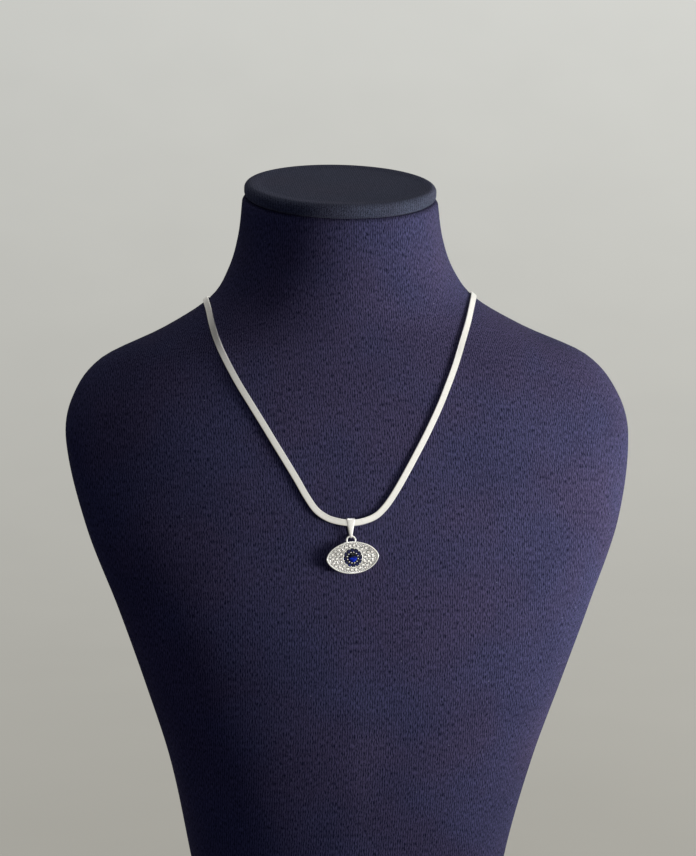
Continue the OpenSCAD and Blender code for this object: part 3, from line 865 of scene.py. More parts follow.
@dataclass
class WovenChain:
    """The flat woven chain, from the clasp by the left side to the front and back."""

    bust: NeckBust
    width: float = 2.4
    thickness: float = 0.9
    corner: float = 0.19
    edge: float = 0.24
    pitch: float = 0.5
    slant: float = 0.45
    groove: float = 0.035
    gap: float = 0.25
    bail_near: float = 0.05
    bail_next: float = 0.95
    overlap: float = 1.1
    crown_inset: float = 0.1
    shoulder: float = 0.41
    clasp_half: float = 9.0
    nape: float = 241.5
    bail_angle: float = -93.3
    bail_height: float = 172.4
    bail_lift: float = 1.15
    clasp_lift: float = 1.65
    steps: int = 24
    ease: int = 24
    ease_from: float = 192.0
    ease_over: float = 16.0
    ease_sink: float = 0.08
    finish: MetalFinish = CHAIN_SILVER
    stations: list[Station] = field(init=False)

    def __post_init__(self) -> None:
        """Lays the route's stations."""
        rest = self.thickness / 2 + self.gap
        tab = math.degrees(math.asin(self.clasp_half / self.bust.section_at(self.nape).half))
        left = (
            (-217, 245.2), (-193, 249.4), (-171.7, 250.3), (-152.2, 245.9), (-138.9, 240.5),
            (-133.4, 237.7), (-128.4, 234.8), (-124.3, 231.9), (-121.3, 229), (-117, 222.9),
            (-113.5, 216.8), (-110.8, 211), (-107.1, 199.8), (-103.5, 188.4), (-101.7, 182.3),
            (-99.9, 177.3),
        )
        right = (
            (-87.1, 177.3), (-85.3, 181.3), (-82.8, 187.9), (-78.8, 199.1), (-74.9, 210.2),
            (-72.7, 216.1), (-69.8, 222.2), (-66.2, 228.3), (-63.8, 231.4), (-60.6, 234.4),
            (-56.5, 237.4), (-51.8, 240.4), (-39.9, 246.1), (-22.3, 251.1), (-4, 252.2),
            (16, 249.7), (37, 245.4),
        )
        self.stations = [
            Station(-270 + tab, self.nape, self.clasp_lift),
            Station(-253, self.nape + 0.2, 1),
            Station(-238, self.nape + 0.9, rest),
            *(Station(angle, height, rest) for angle, height in left),
            Station(-97.8, 174.4, rest + self.bail_near),
            Station(-95.6, 173, self.bail_next),
            Station(self.bail_angle, self.bail_height, self.bail_lift),
            Station(-91, 172.9, self.bail_next),
            Station(-88.8, 174.6, rest + self.bail_near),
            *(Station(angle, height, rest) for angle, height in right),
            Station(58, self.nape + 0.9, rest),
            Station(73, self.nape + 0.2, 1),
            Station(90 - tab, self.nape, self.clasp_lift),
        ]

    def station_at(self, s: float) -> Station:
        """The route between its stations, by a smooth curve through them."""
        rows = self.stations
        last = len(rows) - 1
        i = min(int(s), last - 1)
        t = s - i
        near = [rows[k] for k in (max(i - 1, 0), i, i + 1, min(i + 2, last))]
        weights = (
            (-t + 2 * t**2 - t**3) / 2,
            (2 - 5 * t**2 + 3 * t**3) / 2,
            (t + 4 * t**2 - 3 * t**3) / 2,
            (t**3 - t**2) / 2,
        )
        return blended(near, weights)

    def point(self, s: float) -> Vector:
        """A point of the chain's middle line."""
        at = self.station_at(s)
        return self.bust.point(at.angle, at.height) + at.lift * self.bust.normal(at.angle, at.height)

    def route(self) -> Piece:
        """Lays the middle line.

        Returns:
            A string of edges, whose points keep the line's direction and the way out of the skin.
        """
        last = len(self.stations) - 1
        count = last * self.steps
        normals = []
        for k in range(count + 1):
            at = self.station_at(last * k / count)
            normals.append(self.bust.normal(at.angle, at.height))
        points = self.eased([self.point(last * k / count) for k in range(count + 1)], normals)
        mesh = bpy.data.meshes.new("chain_route")
        mesh.from_pydata([p * MM for p in points], [(k, k + 1) for k in range(count)], [])
        along = mesh.attributes.new("along", "FLOAT_VECTOR", "POINT")
        out = mesh.attributes.new("out", "FLOAT_VECTOR", "POINT")
        for k in range(count + 1):
            ahead = (points[min(k + 1, count)] - points[max(k - 1, 0)]).normalized()
            near = normals[max(k - self.ease, 0):k + self.ease + 1]
            across = sum(near, Vector()).cross(ahead).normalized()
            along.data[k].vector = ahead
            out.data[k].vector = ahead.cross(across)
        return linked("chain_links", mesh)

    def eased(self, points: list[Vector], normals: list[Vector]) -> list[Vector]:
        """The route's points, eased where the chain lies over the shoulders and the neck.

        Args:
            points: The points, in order.
            normals: The way out of the skin at each.

        Returns:
            The points, each moved to the middle of its neighbours, but hardly into the skin.
        """
        found = []
        for k, (point, normal) in enumerate(zip(points, normals)):
            share = min(max((point.z - self.ease_from) / self.ease_over, 0), 1)
            reach = min(round(self.ease * share), k, len(points) - 1 - k)
            near = points[k - reach:k + reach + 1]
            move = sum(near, Vector()) / len(near) - point
            sunk = max(-self.ease_sink - move.dot(normal), 0)
            found.append(point + move + sunk * normal)
        return found

    def link(self) -> Piece:
        """Makes one link.

        Returns:
            A flattened chevron whose crown is rounded and whose ends are thin.
        """
        half = self.width / 2
        right = [half - self.corner - self.crown_inset, half - self.corner, half - self.corner / 3, half]
        columns = [*(-x for x in reversed(right)), 0, *right]
        full = self.thickness / 2
        depths = [full, full, self.thickness * self.shoulder, self.edge]
        depths = [*reversed(depths), full, *depths]
        reach = self.pitch * self.overlap / 2
        points = []
        for x, depth in zip(columns, depths):
            middle = self.slant * (half / 2 - abs(x))
            for y, z in ((-reach, depth - self.groove), (0, depth), (reach, depth - self.groove)):
                points.append(Vector((x, middle + y, z)))
            for y, z in ((reach, self.groove - depth), (0, -depth), (-reach, self.groove - depth)):
                points.append(Vector((x, middle + y, z)))
        return new_piece("chain_link", points, ring_faces(len(columns), 6), crease=50)

    def weave(self) -> bpy.types.NodeTree:
        """The node tree that lays links along the route at an even pitch."""
        graph = Graph(bpy.data.node_groups.new("woven_links", "GeometryNodeTree"))
        takes = {"Geometry": "Geometry", "Pitch": "Float", "Link": "Object", "Finish": "Material"}
        given = graph.begin(takes, {"Geometry": "Geometry"})
        curve = graph.add("GeometryNodeMeshToCurve", {"Mesh": given["Geometry"]}).outputs[0]
        pitch = {"Curve": curve, "Length": given["Pitch"]}
        spaced = graph.add("GeometryNodeResampleCurve", pitch, mode="LENGTH").outputs[0]
        along, out = (graph.stored(name, "FLOAT_VECTOR") for name in ("along", "out"))
        ways = {"primary_axis": "Z", "secondary_axis": "Y"}
        turn = graph.add("FunctionNodeAxesToRotation", {0: out, 1: along}, **ways).outputs[0]
        link = graph.shape(given["Link"])
        graph.set_on_points(given["Finish"], {"Points": spaced, "Instance": link, "Rotation": turn})
        return graph.tree

    def build(self) -> None:
        """Makes the woven links and dresses them."""
        line = self.route()
        link = self.link()
        values = {"Pitch": self.pitch * MM, "Link": link, "Finish": self.finish.material()}
        grow(line, self.weave(), values)
        discard(link)
        self.finish.dress(line, "chain_band")


def grow(piece: Piece, tree: bpy.types.NodeTree, values: dict[str, object]) -> None:
    """Runs a node tree on a piece and turns its result into the piece's plain mesh.

    Args:
        piece: The piece that the tree starts from.
        tree: The node tree.
        values: What each of the tree's named inputs gets.
    """
    modifier = piece.modifiers.new(tree.name, "NODES")
    modifier.node_group = tree
    for item in tree.interface.items_tree:
        if item.item_type == "SOCKET" and item.in_out == "INPUT" and item.name in values:
            modifier[item.identifier] = values[item.name]
    bake(piece)


@dataclass(frozen=True)
class Circle:
    """A circle in a side view: its distance out, its height and its radius."""

    out: float
    height: float
    radius: float


def hull_outline(a: Circle, b: Circle, grown: float, steps: int) -> list[tuple[float, float]]:
    """The outline round two circles that are both grown by the same amount.

    Args:
        a: The larger circle.
        b: The smaller circle.
        grown: How much is added to both radii.
        steps: How many steps each arc has.

    Returns:
        The outline's points, as (out, height).
    """
    lie = math.degrees(math.atan2(a.height - b.height, a.out - b.out))
    apart = math.hypot(a.out - b.out, a.height - b.height)
    opening = math.degrees(math.acos((a.radius - b.radius) / apart))
    arcs = ((a, lie - opening, 2 * opening), (b, lie + opening, 360 - 2 * opening))
    outline = []
    for circle, start, sweep in arcs:
        for i in range(steps + 1):
            out, up = polar(circle.radius + grown, start + sweep * i / steps)
            outline.append((circle.out + out, circle.height + up))
    return outline


@dataclass
class Bail:
    """The tapered strip bent round the chain and the eye's loop."""

    chain: WovenChain
    top: Circle = Circle(1.27, 0.74, 0.78)
    foot: Circle = Circle(0.87, -4.78, 0.5)
    widths: tuple[tuple[float, float], ...] = (
        (-5.7, 0.85), (-4.4, 1.05), (-3.5, 1.15), (-3.2, 1.9), (-2.9, 2.3), (-0.7, 2.6), (1.84, 3.3)
    )
    strip: float = 0.32
    crown: float = 0.05
    crown_parts: tuple[float, ...] = (0.28, 0.0, -0.28)
    arc_steps: int = 28
    edge_steps: int = 4
    finish: MetalFinish = BAIL_SILVER

    @property
    def lean(self) -> float:
        """How far the chest leans back at the bail, in degrees."""
        return math.degrees(math.asin(self.outward.z))

    @property
    def turn(self) -> float:
        """How far the chest turns to the right at the bail, in degrees."""
        return math.degrees(math.atan2(self.outward.x, -self.outward.y))

    @property
    def outward(self) -> Vector:
        """The direction out of the chest at the bail."""
        return self.chain.bust.normal(self.chain.bail_angle, self.chain.bail_height)

    def place(self) -> Matrix:
        """The bail's place on the chest: X across, -Y out of it and Z up it."""
        point = self.chain.bust.point(self.chain.bail_angle, self.chain.bail_height)
        return Matrix.Translation(point) @ leaning(self.lean, self.turn)

    def width_at(self, height: float) -> float:
        """The strip's width at a height: it narrows down to a pinch over the eye's loop."""
        rows = self.widths
        height = min(max(height, rows[0][0]), rows[-1][0])
        i = max(k for k in range(len(rows) - 1) if rows[k][0] <= height)
        (low, narrow), (high, wide) = rows[i], rows[i + 1]
        return narrow + (wide - narrow) * (height - low) / (high - low)

    def section(self) -> list[tuple[float, float, float]]:
        """The strip's cross-section as (part of the width, shift from it, growth), all round."""
        half = self.strip / 2
        turns = even(-90, 90, self.edge_steps)
        right = [(0.5, half * (cos(a) - 1), half + half * sin(a)) for a in turns]
        left = [(-0.5, half * (1 - cos(a)), half - half * sin(a)) for a in turns]
        face = [(part, 0.0, self.strip + self.crown * (1 - (2 * part) ** 2)) for part in self.crown_parts]
        return [*right, *face, *left]

    def build(self) -> None:
        """Makes the strip and dresses it."""
        place = self.place()
        section = self.section()
        outlines = [hull_outline(self.top, self.foot, grown, self.arc_steps) for _, _, grown in section]
        points = []
        for k in range(len(outlines[0])):
            for (part, shift, _), outline in zip(section, outlines):
                out, height = outline[k]
                across = part * self.width_at(height) + shift
                points.append(place @ Vector((across, -out, height)))
        faces = ring_faces(len(outlines[0]), len(section), closed=True)
        strip = new_piece("bail_strip", points, faces, crease=50)
        outward(strip)
        self.finish.dress(strip, "bail")


def leaning(lean: float, turn: float) -> Matrix:
    """The turn of a thing that lies on a chest with this lean and turn."""
    return Euler((math.radians(-lean), 0, math.radians(turn)), "XYZ").to_matrix().to_4x4()


def outward(piece: Piece) -> None:
    """Merges a closed piece's points that lie nearer than DOUBLE, in millimetres, and turns it outwards."""
    work = bmesh.new()
    work.from_mesh(piece.data)
    bmesh.ops.remove_doubles(work, verts=work.verts, dist=DOUBLE * MM)
    bmesh.ops.recalc_face_normals(work, faces=work.faces)
    work.to_mesh(piece.data)
    work.free()


@dataclass
class NapeClasp:
    """The clasp at the nape with its end tabs and links, one plain soldered piece."""

    chain: WovenChain
    tab_length: float = 2.6
    tab_thickness: float = 1.5
    tab_extra: float = 0.5
    tab_rise: float = 0.15
    tab_grip: float = 0.1
    link_radius: float = 1.15
    link_wire: float = 0.4
    link_sides: tuple[int, int] = (40, 12)
    link_step: float = 0.9
    hook_step: float = 1.1
    hook_thickness: float = 1.7
    wide: float = 2.1
    narrow: float = 1.2
    hole: float = 0.95
    hole_at: tuple[float, float] = (-0.4, 0.2)
    hole_sides: int = 36
    arc_steps: int = 16
    lift: float = 1.25
    edge: float = 0.35
    finish: MetalFinish = CLASP_SILVER

    def place(self) -> Matrix:
        """The clasp's place at the nape: X across, Y down the nape and Z out of it."""
        bust, nape = self.chain.bust, self.chain.nape
        out = bust.normal(90, nape)
        tip = Matrix.Rotation(math.asin(out.z) - math.pi / 2, 4, "X")
        return Matrix.Translation(bust.point(90, nape)) @ tip @ Matrix.Translation((0, 0, self.lift))

    def tab(self, side: int) -> Solid:
        """One end tab: a small block with rounded edges that holds the chain's end."""
        block = bmesh.new()
        bmesh.ops.create_cube(block, size=1)
        size = Vector((self.tab_length, self.chain.width + self.tab_extra, self.tab_thickness))
        bmesh.ops.scale(block, vec=size, verts=block.verts)
        bmesh.ops.bevel(
            block, geom=block.edges[:], offset=self.edge, segments=4, profile=0.5, affect="EDGES"
        )
        middle = side * (self.chain.clasp_half - self.tab_grip - self.tab_length / 2)
        bmesh.ops.translate(block, vec=(middle, 0, self.tab_rise), verts=block.verts)
        return block

    def hoop(self, middle: float) -> Solid:
        """One round link."""
        return hoop_mesh(Vector((middle, 0, 0)), self.link_radius, self.link_wire, *self.link_sides)

    def hook(self, half: float) -> Solid:
        """Makes the hook.

        Args:
            half: Half its length.

        Returns:
            A drop shape with rounded edges, and a round hole in its bow.
        """
        line = bpy.data.curves.new("hook", "CURVE")
        line.dimensions = "2D"
        line.fill_mode = "BOTH"
        line.extrude = self.hook_thickness / 2 - self.edge
        line.bevel_depth = self.edge
        line.bevel_resolution = 3
        bow = Circle(-half + self.wide, 0, self.wide - self.edge)
        tip = Circle(half - self.narrow, 0, self.narrow - self.edge)
        turns = (360 * k / self.hole_sides for k in range(self.hole_sides))
        round_hole = (polar(self.hole + self.edge, a) for a in turns)
        hole = [(self.hole_at[0] + x, self.hole_at[1] + y) for x, y in round_hole]
        for outline in (hull_outline(bow, tip, 0, self.arc_steps), hole):
            spline = line.splines.new("POLY")
            spline.points.add(len(outline) - 1)
            for point, (x, y) in zip(spline.points, outline):
                point.co = (x, y, 0, 1)
            spline.use_cyclic_u = True
        drawn = linked("hook", line)
        bpy.context.view_layer.update()
        mesh = bpy.data.meshes.new_from_object(drawn.evaluated_get(bpy.context.evaluated_depsgraph_get()))
        discard(drawn)
        solid = bmesh.new()
        solid.from_mesh(mesh)
        bmesh.ops.remove_doubles(solid, verts=solid.verts, dist=0.001)
        bmesh.ops.recalc_face_normals(solid, faces=solid.faces)
        return solid

    def build(self) -> None:
        """Makes the clasp and dresses it."""
        link_at = self.chain.clasp_half - self.tab_length - self.link_step
        parts = [self.hook(link_at - self.hook_step)]
        for side in (-1, 1):
            parts += [self.tab(side), self.hoop(side * link_at)]
        clasp = joined("nape_clasp", parts, self.place(), crease=35)
        self.finish.dress(clasp, "clasp")


def hoop_mesh(middle: Vector, radius: float, wire: float, sides: int, wire_sides: int) -> Solid:
    """A round hoop in the XY plane.

    Args:
        middle: The hoop's middle.
        radius: The radius to the middle of its wire.
        wire: The wire's radius.
        sides: How many steps go round the hoop.
        wire_sides: How many steps go round the wire.

    Returns:
        The hoop's mesh.
    """
    hoop = bmesh.new()
    points = []
    for k in range(sides):
        a = 360 * k / sides
        for j in range(wire_sides):
            b = 360 * j / wire_sides
            reach = radius + wire * cos(b)
            points.append(hoop.verts.new(middle + Vector((*polar(reach, a), wire * sin(b)))))
    for face in ring_faces(sides, wire_sides, closed=True):
        hoop.faces.new([points[i] for i in face])
    bmesh.ops.recalc_face_normals(hoop, faces=hoop.faces)
    return hoop


def joined(name: str, parts: list[Solid], place: Matrix, crease: float = 180.0) -> Piece:
    """Joins closed meshes into one piece.

    Args:
        name: The piece's name.
        parts: The meshes, in millimetres. They are freed.
        place: Where their shared frame lies, in millimetres.
        crease: Edges that bend by more than this angle stay sharp, in degrees.

    Returns:
        The new piece.
    """
    points, faces = [], []
    for part in parts:
        part.verts.index_update()
        start = len(points)
        points += [place @ v.co for v in part.verts]
        faces += [tuple(start + v.index for v in f.verts) for f in part.faces]
        part.free()
    return new_piece(name, points, faces, crease)


@dataclass(frozen=True)
class Cut:
    """A round cut of 73 faces, as parts of the stone's diameter."""

    table: float = 0.29
    star: float = 0.405
    crown: float = 0.15
    girdle: float = 0.02
    pavilion: float = 0.43
    lower: float = 0.11

    def points(self) -> list[Vector]:
        """Works out the cut's corners.

        Returns:
            The corners for a stone of diameter 1, with its girdle at height 0.
        """
        rise = self.girdle / 2
        between = 22.5
        star_height = rise + self.crown * (0.5 - self.star * cos(between)) / (0.5 - self.table)
        lower_height = -rise - self.pavilion * (1 - 2 * self.lower * cos(between))
        rows = (
            (self.table, 8, 0.0, self.crown + rise),
            (self.star, 8, between, star_height),
            (0.5, 16, 0.0, rise),
            (0.5, 16, 0.0, -rise),
            (self.lower, 8, between, lower_height),
        )
        corners = [
            Vector((*polar(radius, 360 * k / count + first), z))
            for radius, count, first, z in rows
            for k in range(count)
        ]
        return [*corners, Vector((0, 0, -rise - self.pavilion))]

    @staticmethod
    def faces() -> list[tuple[int, ...]]:
        """Works out the cut's faces.

        Returns:
            The table, then the stars, kites, upper halves, girdle, lower halves and mains by turns.
        """
        table, star, upper, under, lower, culet = 0, 8, 16, 32, 48, 56
        faces = [tuple(range(8))]
        for k in range(8):
            n, p = (k + 1) % 8, (k - 1) % 8
            a, b, c = 2 * k, 2 * k + 1, 2 * n
            faces += [
                (table + k, star + k, table + n),
                (table + k, star + p, upper + a, star + k),
                (star + k, upper + a, upper + b),
                (star + k, upper + b, upper + c),
                (upper + a, under + a, under + b, upper + b),
                (upper + b, under + b, under + c, upper + c),
                (lower + k, under + b, under + a),
                (lower + k, under + c, under + b),
                (under + a, lower + p, culet, lower + k),
            ]
        return faces


@dataclass(frozen=True)
class Stone:
    """A stone's place in the eye, its diameter, and its turn and tip in its seat."""

    x: float
    y: float
    diameter: float
    turn: float = 0.0
    tip: float = 0.0

    @property
    def radius(self) -> float:
        """Half the diameter."""
        return self.diameter / 2

    def placed(self, cut: Cut, level: float) -> list[Vector]:
        """The stone's corners in the eye's frame."""
        spin = Matrix.Rotation(math.radians(self.turn), 3, "Z")
        tilt = Matrix.Rotation(math.radians(self.tip), 3, (*polar(1, self.turn), 0))
        middle = Vector((self.x, self.y, level))
        return [middle + tilt @ spin @ (p * self.diameter) for p in cut.points()]

    def distance(self, x: float, y: float) -> float:
        """How far a point lies from the stone's middle."""
        return math.hypot(x - self.x, y - self.y)


@dataclass
class EyeCharm:
    """The almond-shaped eye: its casting with the loop, its bead prongs and its stones."""

    bail: Bail
    width: float = 19.4
    height: float = 11.8
    rim_top: float = 2.15
    rim_wall: float = 0.62
    corner_extra: float = 0.13
    roll: float = 3.8
    lean_step: float = 3.7
    loop_radius: float = 1.6
    loop_wire: float = 0.43
    loop_out: float = 0.95
    loop_rise: float = 0.4
    loop_sides: tuple[int, int] = (64, 20)
    loop_in_bail: tuple[float, float, float] = (0, 0.86, -6.375)
    back: float = 0.25
    plate_top: float = 1.45
    pave_level: float = 1.72
    iris_level: float = 1.8
    pupil_level: float = 1.95
    collar_top: float = 2.1
    collar_inner: float = 3.38
    collar_outer: float = 3.75
    seat_gap: float = 0.12
    seat_depth: float = 0.1
    seat_foot: float = 0.03
    seat_sides: int = 24
    almond_flat: float = 2.05
    almond_sharp: float = 0.62
    outline_steps: int = 144
    pupil_diameter: float = 3.2
    iris_diameter: float = 1.34
    iris_radius: float = 2.72
    iris_count: int = 12
    pave_diameter: float = 1.4
    filler_grid: float = 0.14
    filler_most: float = 1.3
    small_stone_least: float = 0.8
    bead_least: float = 0.22
    bead_most: float = 0.56
    bead_grip: float = 0.04
    bead_rise: float = 0.46
    bead_sides: int = 10
    iris_beads: tuple[tuple[float, float], ...] = ((1.98, 0.28), (3.28, 0.24))
    iris_bead_lift: float = 0.2
    # How much painted shade the field between the stones gets.
    field_shade: float = 0.3
    cut: Cut = Cut()
    pupil_cut: Cut = Cut(pavilion=0.4)
    seed: int = 7
    finish: MetalFinish = FRAME_SILVER
    white: StoneFinish = WHITE_STONE
    dark_blue: StoneFinish = DARK_BLUE
    royal_blue: StoneFinish = ROYAL_BLUE
    large_stones: list[Stone] = field(init=False)
    small_stones: list[Stone] = field(init=False)
    field_beads: list[Stone] = field(init=False)

    def __post_init__(self) -> None:
        """Sets the large stones, then fits small stones and beads between them."""
        chance = random.Random(self.seed)
        self.large_stones = self.arc_stones(chance)
        fillers = self.fillers()
        self.small_stones = [
            self.loose_stone(gap.x, gap.y, gap.diameter - self.bead_grip, chance)
            for gap in fillers
            if gap.diameter >= self.small_stone_least
        ]
        self.field_beads = [gap for gap in fillers if gap.diameter < self.small_stone_least]

    @property
    def loop_centre(self) -> float:
        """The height of the loop's middle over the eye's middle."""
        return self.height / 2 + self.loop_rise

    def place(self) -> Matrix:
        """The eye's place on the chest: X across, Y up it and Z out of it."""
        across, out, up = self.loop_in_bail
        loop = self.bail.place() @ Vector((across, -out, up))
        turn = leaning(self.bail.lean - self.lean_step, self.bail.turn)
        turn = turn @ turned(-self.roll, "Y") @ turned(90, "X")
        return Matrix.Translation(loop - turn @ Vector((0, self.loop_centre, self.loop_out))) @ turn

    def almond(self, half_width: float, half_height: float, level: float) -> Ring:
        """An almond outline at a level."""
        ring = []
        for k in range(self.outline_steps):
            a = 360 * k / self.outline_steps
            bulge = max(1 - abs(cos(a)) ** self.almond_flat, 0) ** self.almond_sharp
            ring.append(Vector((half_width * cos(a), math.copysign(half_height * bulge, sin(a)), level)))
        return ring

    def inset_almond(self, inset: float, level: float) -> Ring:
        """The eye's outline drawn in by an inset, a little more at its corners."""
        extra = inset * self.corner_extra / self.rim_wall
        return self.almond(self.width / 2 - inset - extra, self.height / 2 - inset, level)

    def rim_rings(self) -> list[Ring]:
        """The rings of the rim: up its outer wall, over its round top and down to the plate."""
        soft, fillet = 0.14, 0.06
        top = self.rim_wall / 2
        places = [(soft * (1 - sin(a)), self.back + soft * (1 - cos(a))) for a in even(0, 90, 3)]
        places += [(top * (1 - cos(a)), self.rim_top - top * (1 - sin(a))) for a in even(0, 180, 9)]
        places += [(self.rim_wall, self.plate_top + fillet), (self.rim_wall + fillet, self.plate_top)]
        return [self.inset_almond(inset, level) for inset, level in places]

    def collar_rings(self) -> list[Ring]:
        """The rings of the iris collar: up from the plate, over its top and down to its floor."""
        fillet = 0.05
        half = (self.collar_outer - self.collar_inner) / 2
        middle = (self.collar_outer + self.collar_inner) / 2
        spring = self.collar_top - half
        foot, outer = self.plate_top, self.collar_outer
        places = [(outer + fillet, foot), (outer, foot + fillet)]
        places += [(middle + half * cos(a), spring + half * sin(a)) for a in even(0, 180, 6)]
        places.append((self.collar_inner, foot))
        return [revolved([place], self.outline_steps) for place in places]

    def casting(self) -> Piece:
        """Makes the casting.

        Returns:
            The rim, plate, collar and loop as one body, with a seat under each stone.
        """
        rings = [*self.rim_rings(), *self.collar_rings()]
        points = [p for ring in rings for p in ring]
        body = new_piece("eye_casting", points, ring_faces(len(rings), self.outline_steps))
        middle = Vector((0, self.loop_centre, self.loop_out))
        hoop = hoop_mesh(middle, self.loop_radius, self.loop_wire, *self.loop_sides)
        loop = joined("loop_shape", [hoop], Matrix())
        seats = self.seats()
        for tool, operation in ((loop, "UNION"), (seats, "DIFFERENCE")):
            cutter = body.modifiers.new(tool.name, "BOOLEAN")
            cutter.object = tool
            cutter.operation = operation
            cutter.solver = "EXACT"
        bake(body)
        discard(loop)
        discard(seats)
        # Painted shade: the iris floor and the field between the stones are darkened.
        depths = body.data.attributes.new(RECESS, "FLOAT", "POINT")
        for item, vertex in zip(depths.data, body.data.vertices):
            item.value = self.recess(vertex.co / MM)
        body.data.transform(scaled_place(self.place()))
        shade(body, crease=35)
        return body

    def recess(self, p: Vector) -> float:
        """How much painted shade the casting gets at a point: the iris floor most, the field less."""
        near = 0.02
        if p.z > self.plate_top + near or not self.in_almond(p.x, p.y):
            return 0.0
        return 1.0 if math.hypot(p.x, p.y) < self.collar_inner + near else self.field_shade

    def seats(self) -> Piece:
        """Makes the cone seats under all stones.

        Returns:
            The seats, joined as one cutting shape.
        """
        parts = []
        jobs = [(stone, self.pave_level, self.cut) for stone in self.white_stones()]
        jobs += [(stone, self.iris_level, self.cut) for stone in self.iris_stones()]
        jobs.append((self.pupil(), self.pupil_level, self.pupil_cut))
        for stone, level, cut in jobs:
            depth = cut.pavilion * stone.diameter + self.seat_depth
            cone = bmesh.new()
            bmesh.ops.create_cone(
                cone, cap_ends=True, segments=self.seat_sides, depth=depth, radius1=self.seat_foot,
                radius2=stone.radius + self.seat_gap,
                matrix=Matrix.Translation((stone.x, stone.y, level - depth / 2))
            )
            parts.append(cone)
        return joined("seat_shapes", parts, Matrix())

    @staticmethod
    def loose_stone(x: float, y: float, diameter: float, chance: random.Random, tip: float = 4) -> Stone:
        """A stone that is turned by chance and tipped by chance, by at most the tip's degrees."""
        return Stone(x, y, diameter, chance.uniform(0, 45), chance.uniform(-tip, tip))

    def pupil(self) -> Stone:
        """The middle stone."""
        return Stone(0, 0, self.pupil_diameter)

    def iris_stones(self) -> list[Stone]:
        """The ring of stones round the middle one, from the top and clockwise."""
        chance = random.Random(self.seed)
        turns = (90 - 360 * i / self.iris_count for i in range(self.iris_count))
        places = (polar(self.iris_radius, a) for a in turns)
        return [self.loose_stone(*place, self.iris_diameter, chance, tip=2) for place in places]

    def white_stones(self) -> list[Stone]:
        """All white stones of the field."""
        return [*self.large_stones, *self.small_stones]

    def arc_stones(self, chance: random.Random) -> list[Stone]:
        """Lays the large white stones, in arcs round the iris and out into both corners.

        Args:
            chance: What their turns and tips come from.

        Returns:
            The stones.
        """
        large = self.pave_diameter
        arcs = (
            (4.46, large, 0, 20, 18),
            (5.92, large, -31.6, 15.8, 5),
            (7.38, large, -12.3, 12.3, 3),
            (8.48, large * 0.42, 0, 0, 1),
            (5.72, large * 0.67, -44, 88, 2),
        )
        stones = []
        full_turn = 360
        for radius, diameter, first, step, count in arcs:
            for k in range(count):
                for side in (0,) if step * count == full_turn else (0, 180):
                    place = polar(radius, side + first + k * step)
                    stones.append(self.loose_stone(*place, diameter, chance))
        return stones

    def fillers(self) -> list[Stone]:
        """Finds round places that fill what the large stones leave free.

        Returns:
            The places, the roomiest first, as stones or beads can fill them.
        """
        edge = self.inset_almond(self.rim_wall, 0)
        columns = int(self.width / 2 / self.filler_grid)
        rows = int(self.height / 2 / self.filler_grid)
        places = []
        for i in range(-columns, columns + 1):
            for j in range(-rows, rows + 1):
                x, y = i * self.filler_grid, j * self.filler_grid
                if not self.in_field(x, y):
                    continue
                room = min(
                    math.hypot(x, y) - self.collar_outer,
                    min(stone.distance(x, y) - stone.radius for stone in self.large_stones),
                    min(math.hypot(x - p.x, y - p.y) for p in edge),
                )
                if room > self.bead_least / 2:
                    places.append((room, x, y))
        places.sort(reverse=True)
        found: list[Stone] = []
        for room, x, y in places:
            room = min([room, *(other.distance(x, y) - other.radius for other in found)])
            if room > self.bead_least / 2:
                most = self.filler_most if room * 2 >= self.small_stone_least else self.bead_most
                found.append(Stone(x, y, min(room * 2, most)))
        return found

    def bead_places(self) -> list[tuple[float, float, float, float]]:
        """Where the bead prongs of the field and the iris stand, as (x, y, level, radius)."""
        low, grip = self.plate_top, self.bead_grip
        beads = [(gap.x, gap.y, low, gap.radius + grip) for gap in self.field_beads]
        level = self.plate_top + self.iris_bead_lift
        for i in range(self.iris_count):
            a = (i + 0.5) * 360 / self.iris_count
            beads += [(*polar(reach, a), level, size) for reach, size in self.iris_beads]
        return beads

    def in_almond(self, x: float, y: float) -> bool:
        """True if a point lies inside the rim."""
        part = min(abs(x) / (self.width / 2 - self.rim_wall - self.corner_extra), 1)
        top = (self.height / 2 - self.rim_wall) * (1 - part**self.almond_flat) ** self.almond_sharp
        return abs(y) < top

    def in_field(self, x: float, y: float) -> bool:
        """True if a point lies on the plate, inside the rim and outside the iris collar."""
        return self.in_almond(x, y) and math.hypot(x, y) > self.collar_outer

    def bead(self) -> Piece:
        """One bead prong: a post with a domed top, of radius and height 1."""
        profile = ((0.7, -0.9), (1.0, -0.5), (1.0, 0.45), (0.88, 0.76), (0.55, 0.96))
        faces = ring_faces(len(profile), self.bead_sides)
        return new_piece("bead_shape", revolved(profile, self.bead_sides), faces)

    def bead_tree(self) -> bpy.types.NodeTree:
        """The node tree that sets a bead on each point, sized by the point's own radius."""
        graph = Graph(bpy.data.node_groups.new("bead_prongs", "GeometryNodeTree"))
        takes = {"Geometry": "Geometry", "Bead": "Object", "Height": "Float", "Finish": "Material"}
        given = graph.begin(takes, {"Geometry": "Geometry"})
        bead = graph.shape(given["Bead"])
        size = graph.stored("bead_radius", "FLOAT")
        scale = graph.vector(size, size, given["Height"])
        points = given["Geometry"]
        graph.set_on_points(given["Finish"], {"Points": points, "Instance": bead, "Scale": scale})
        return graph.tree

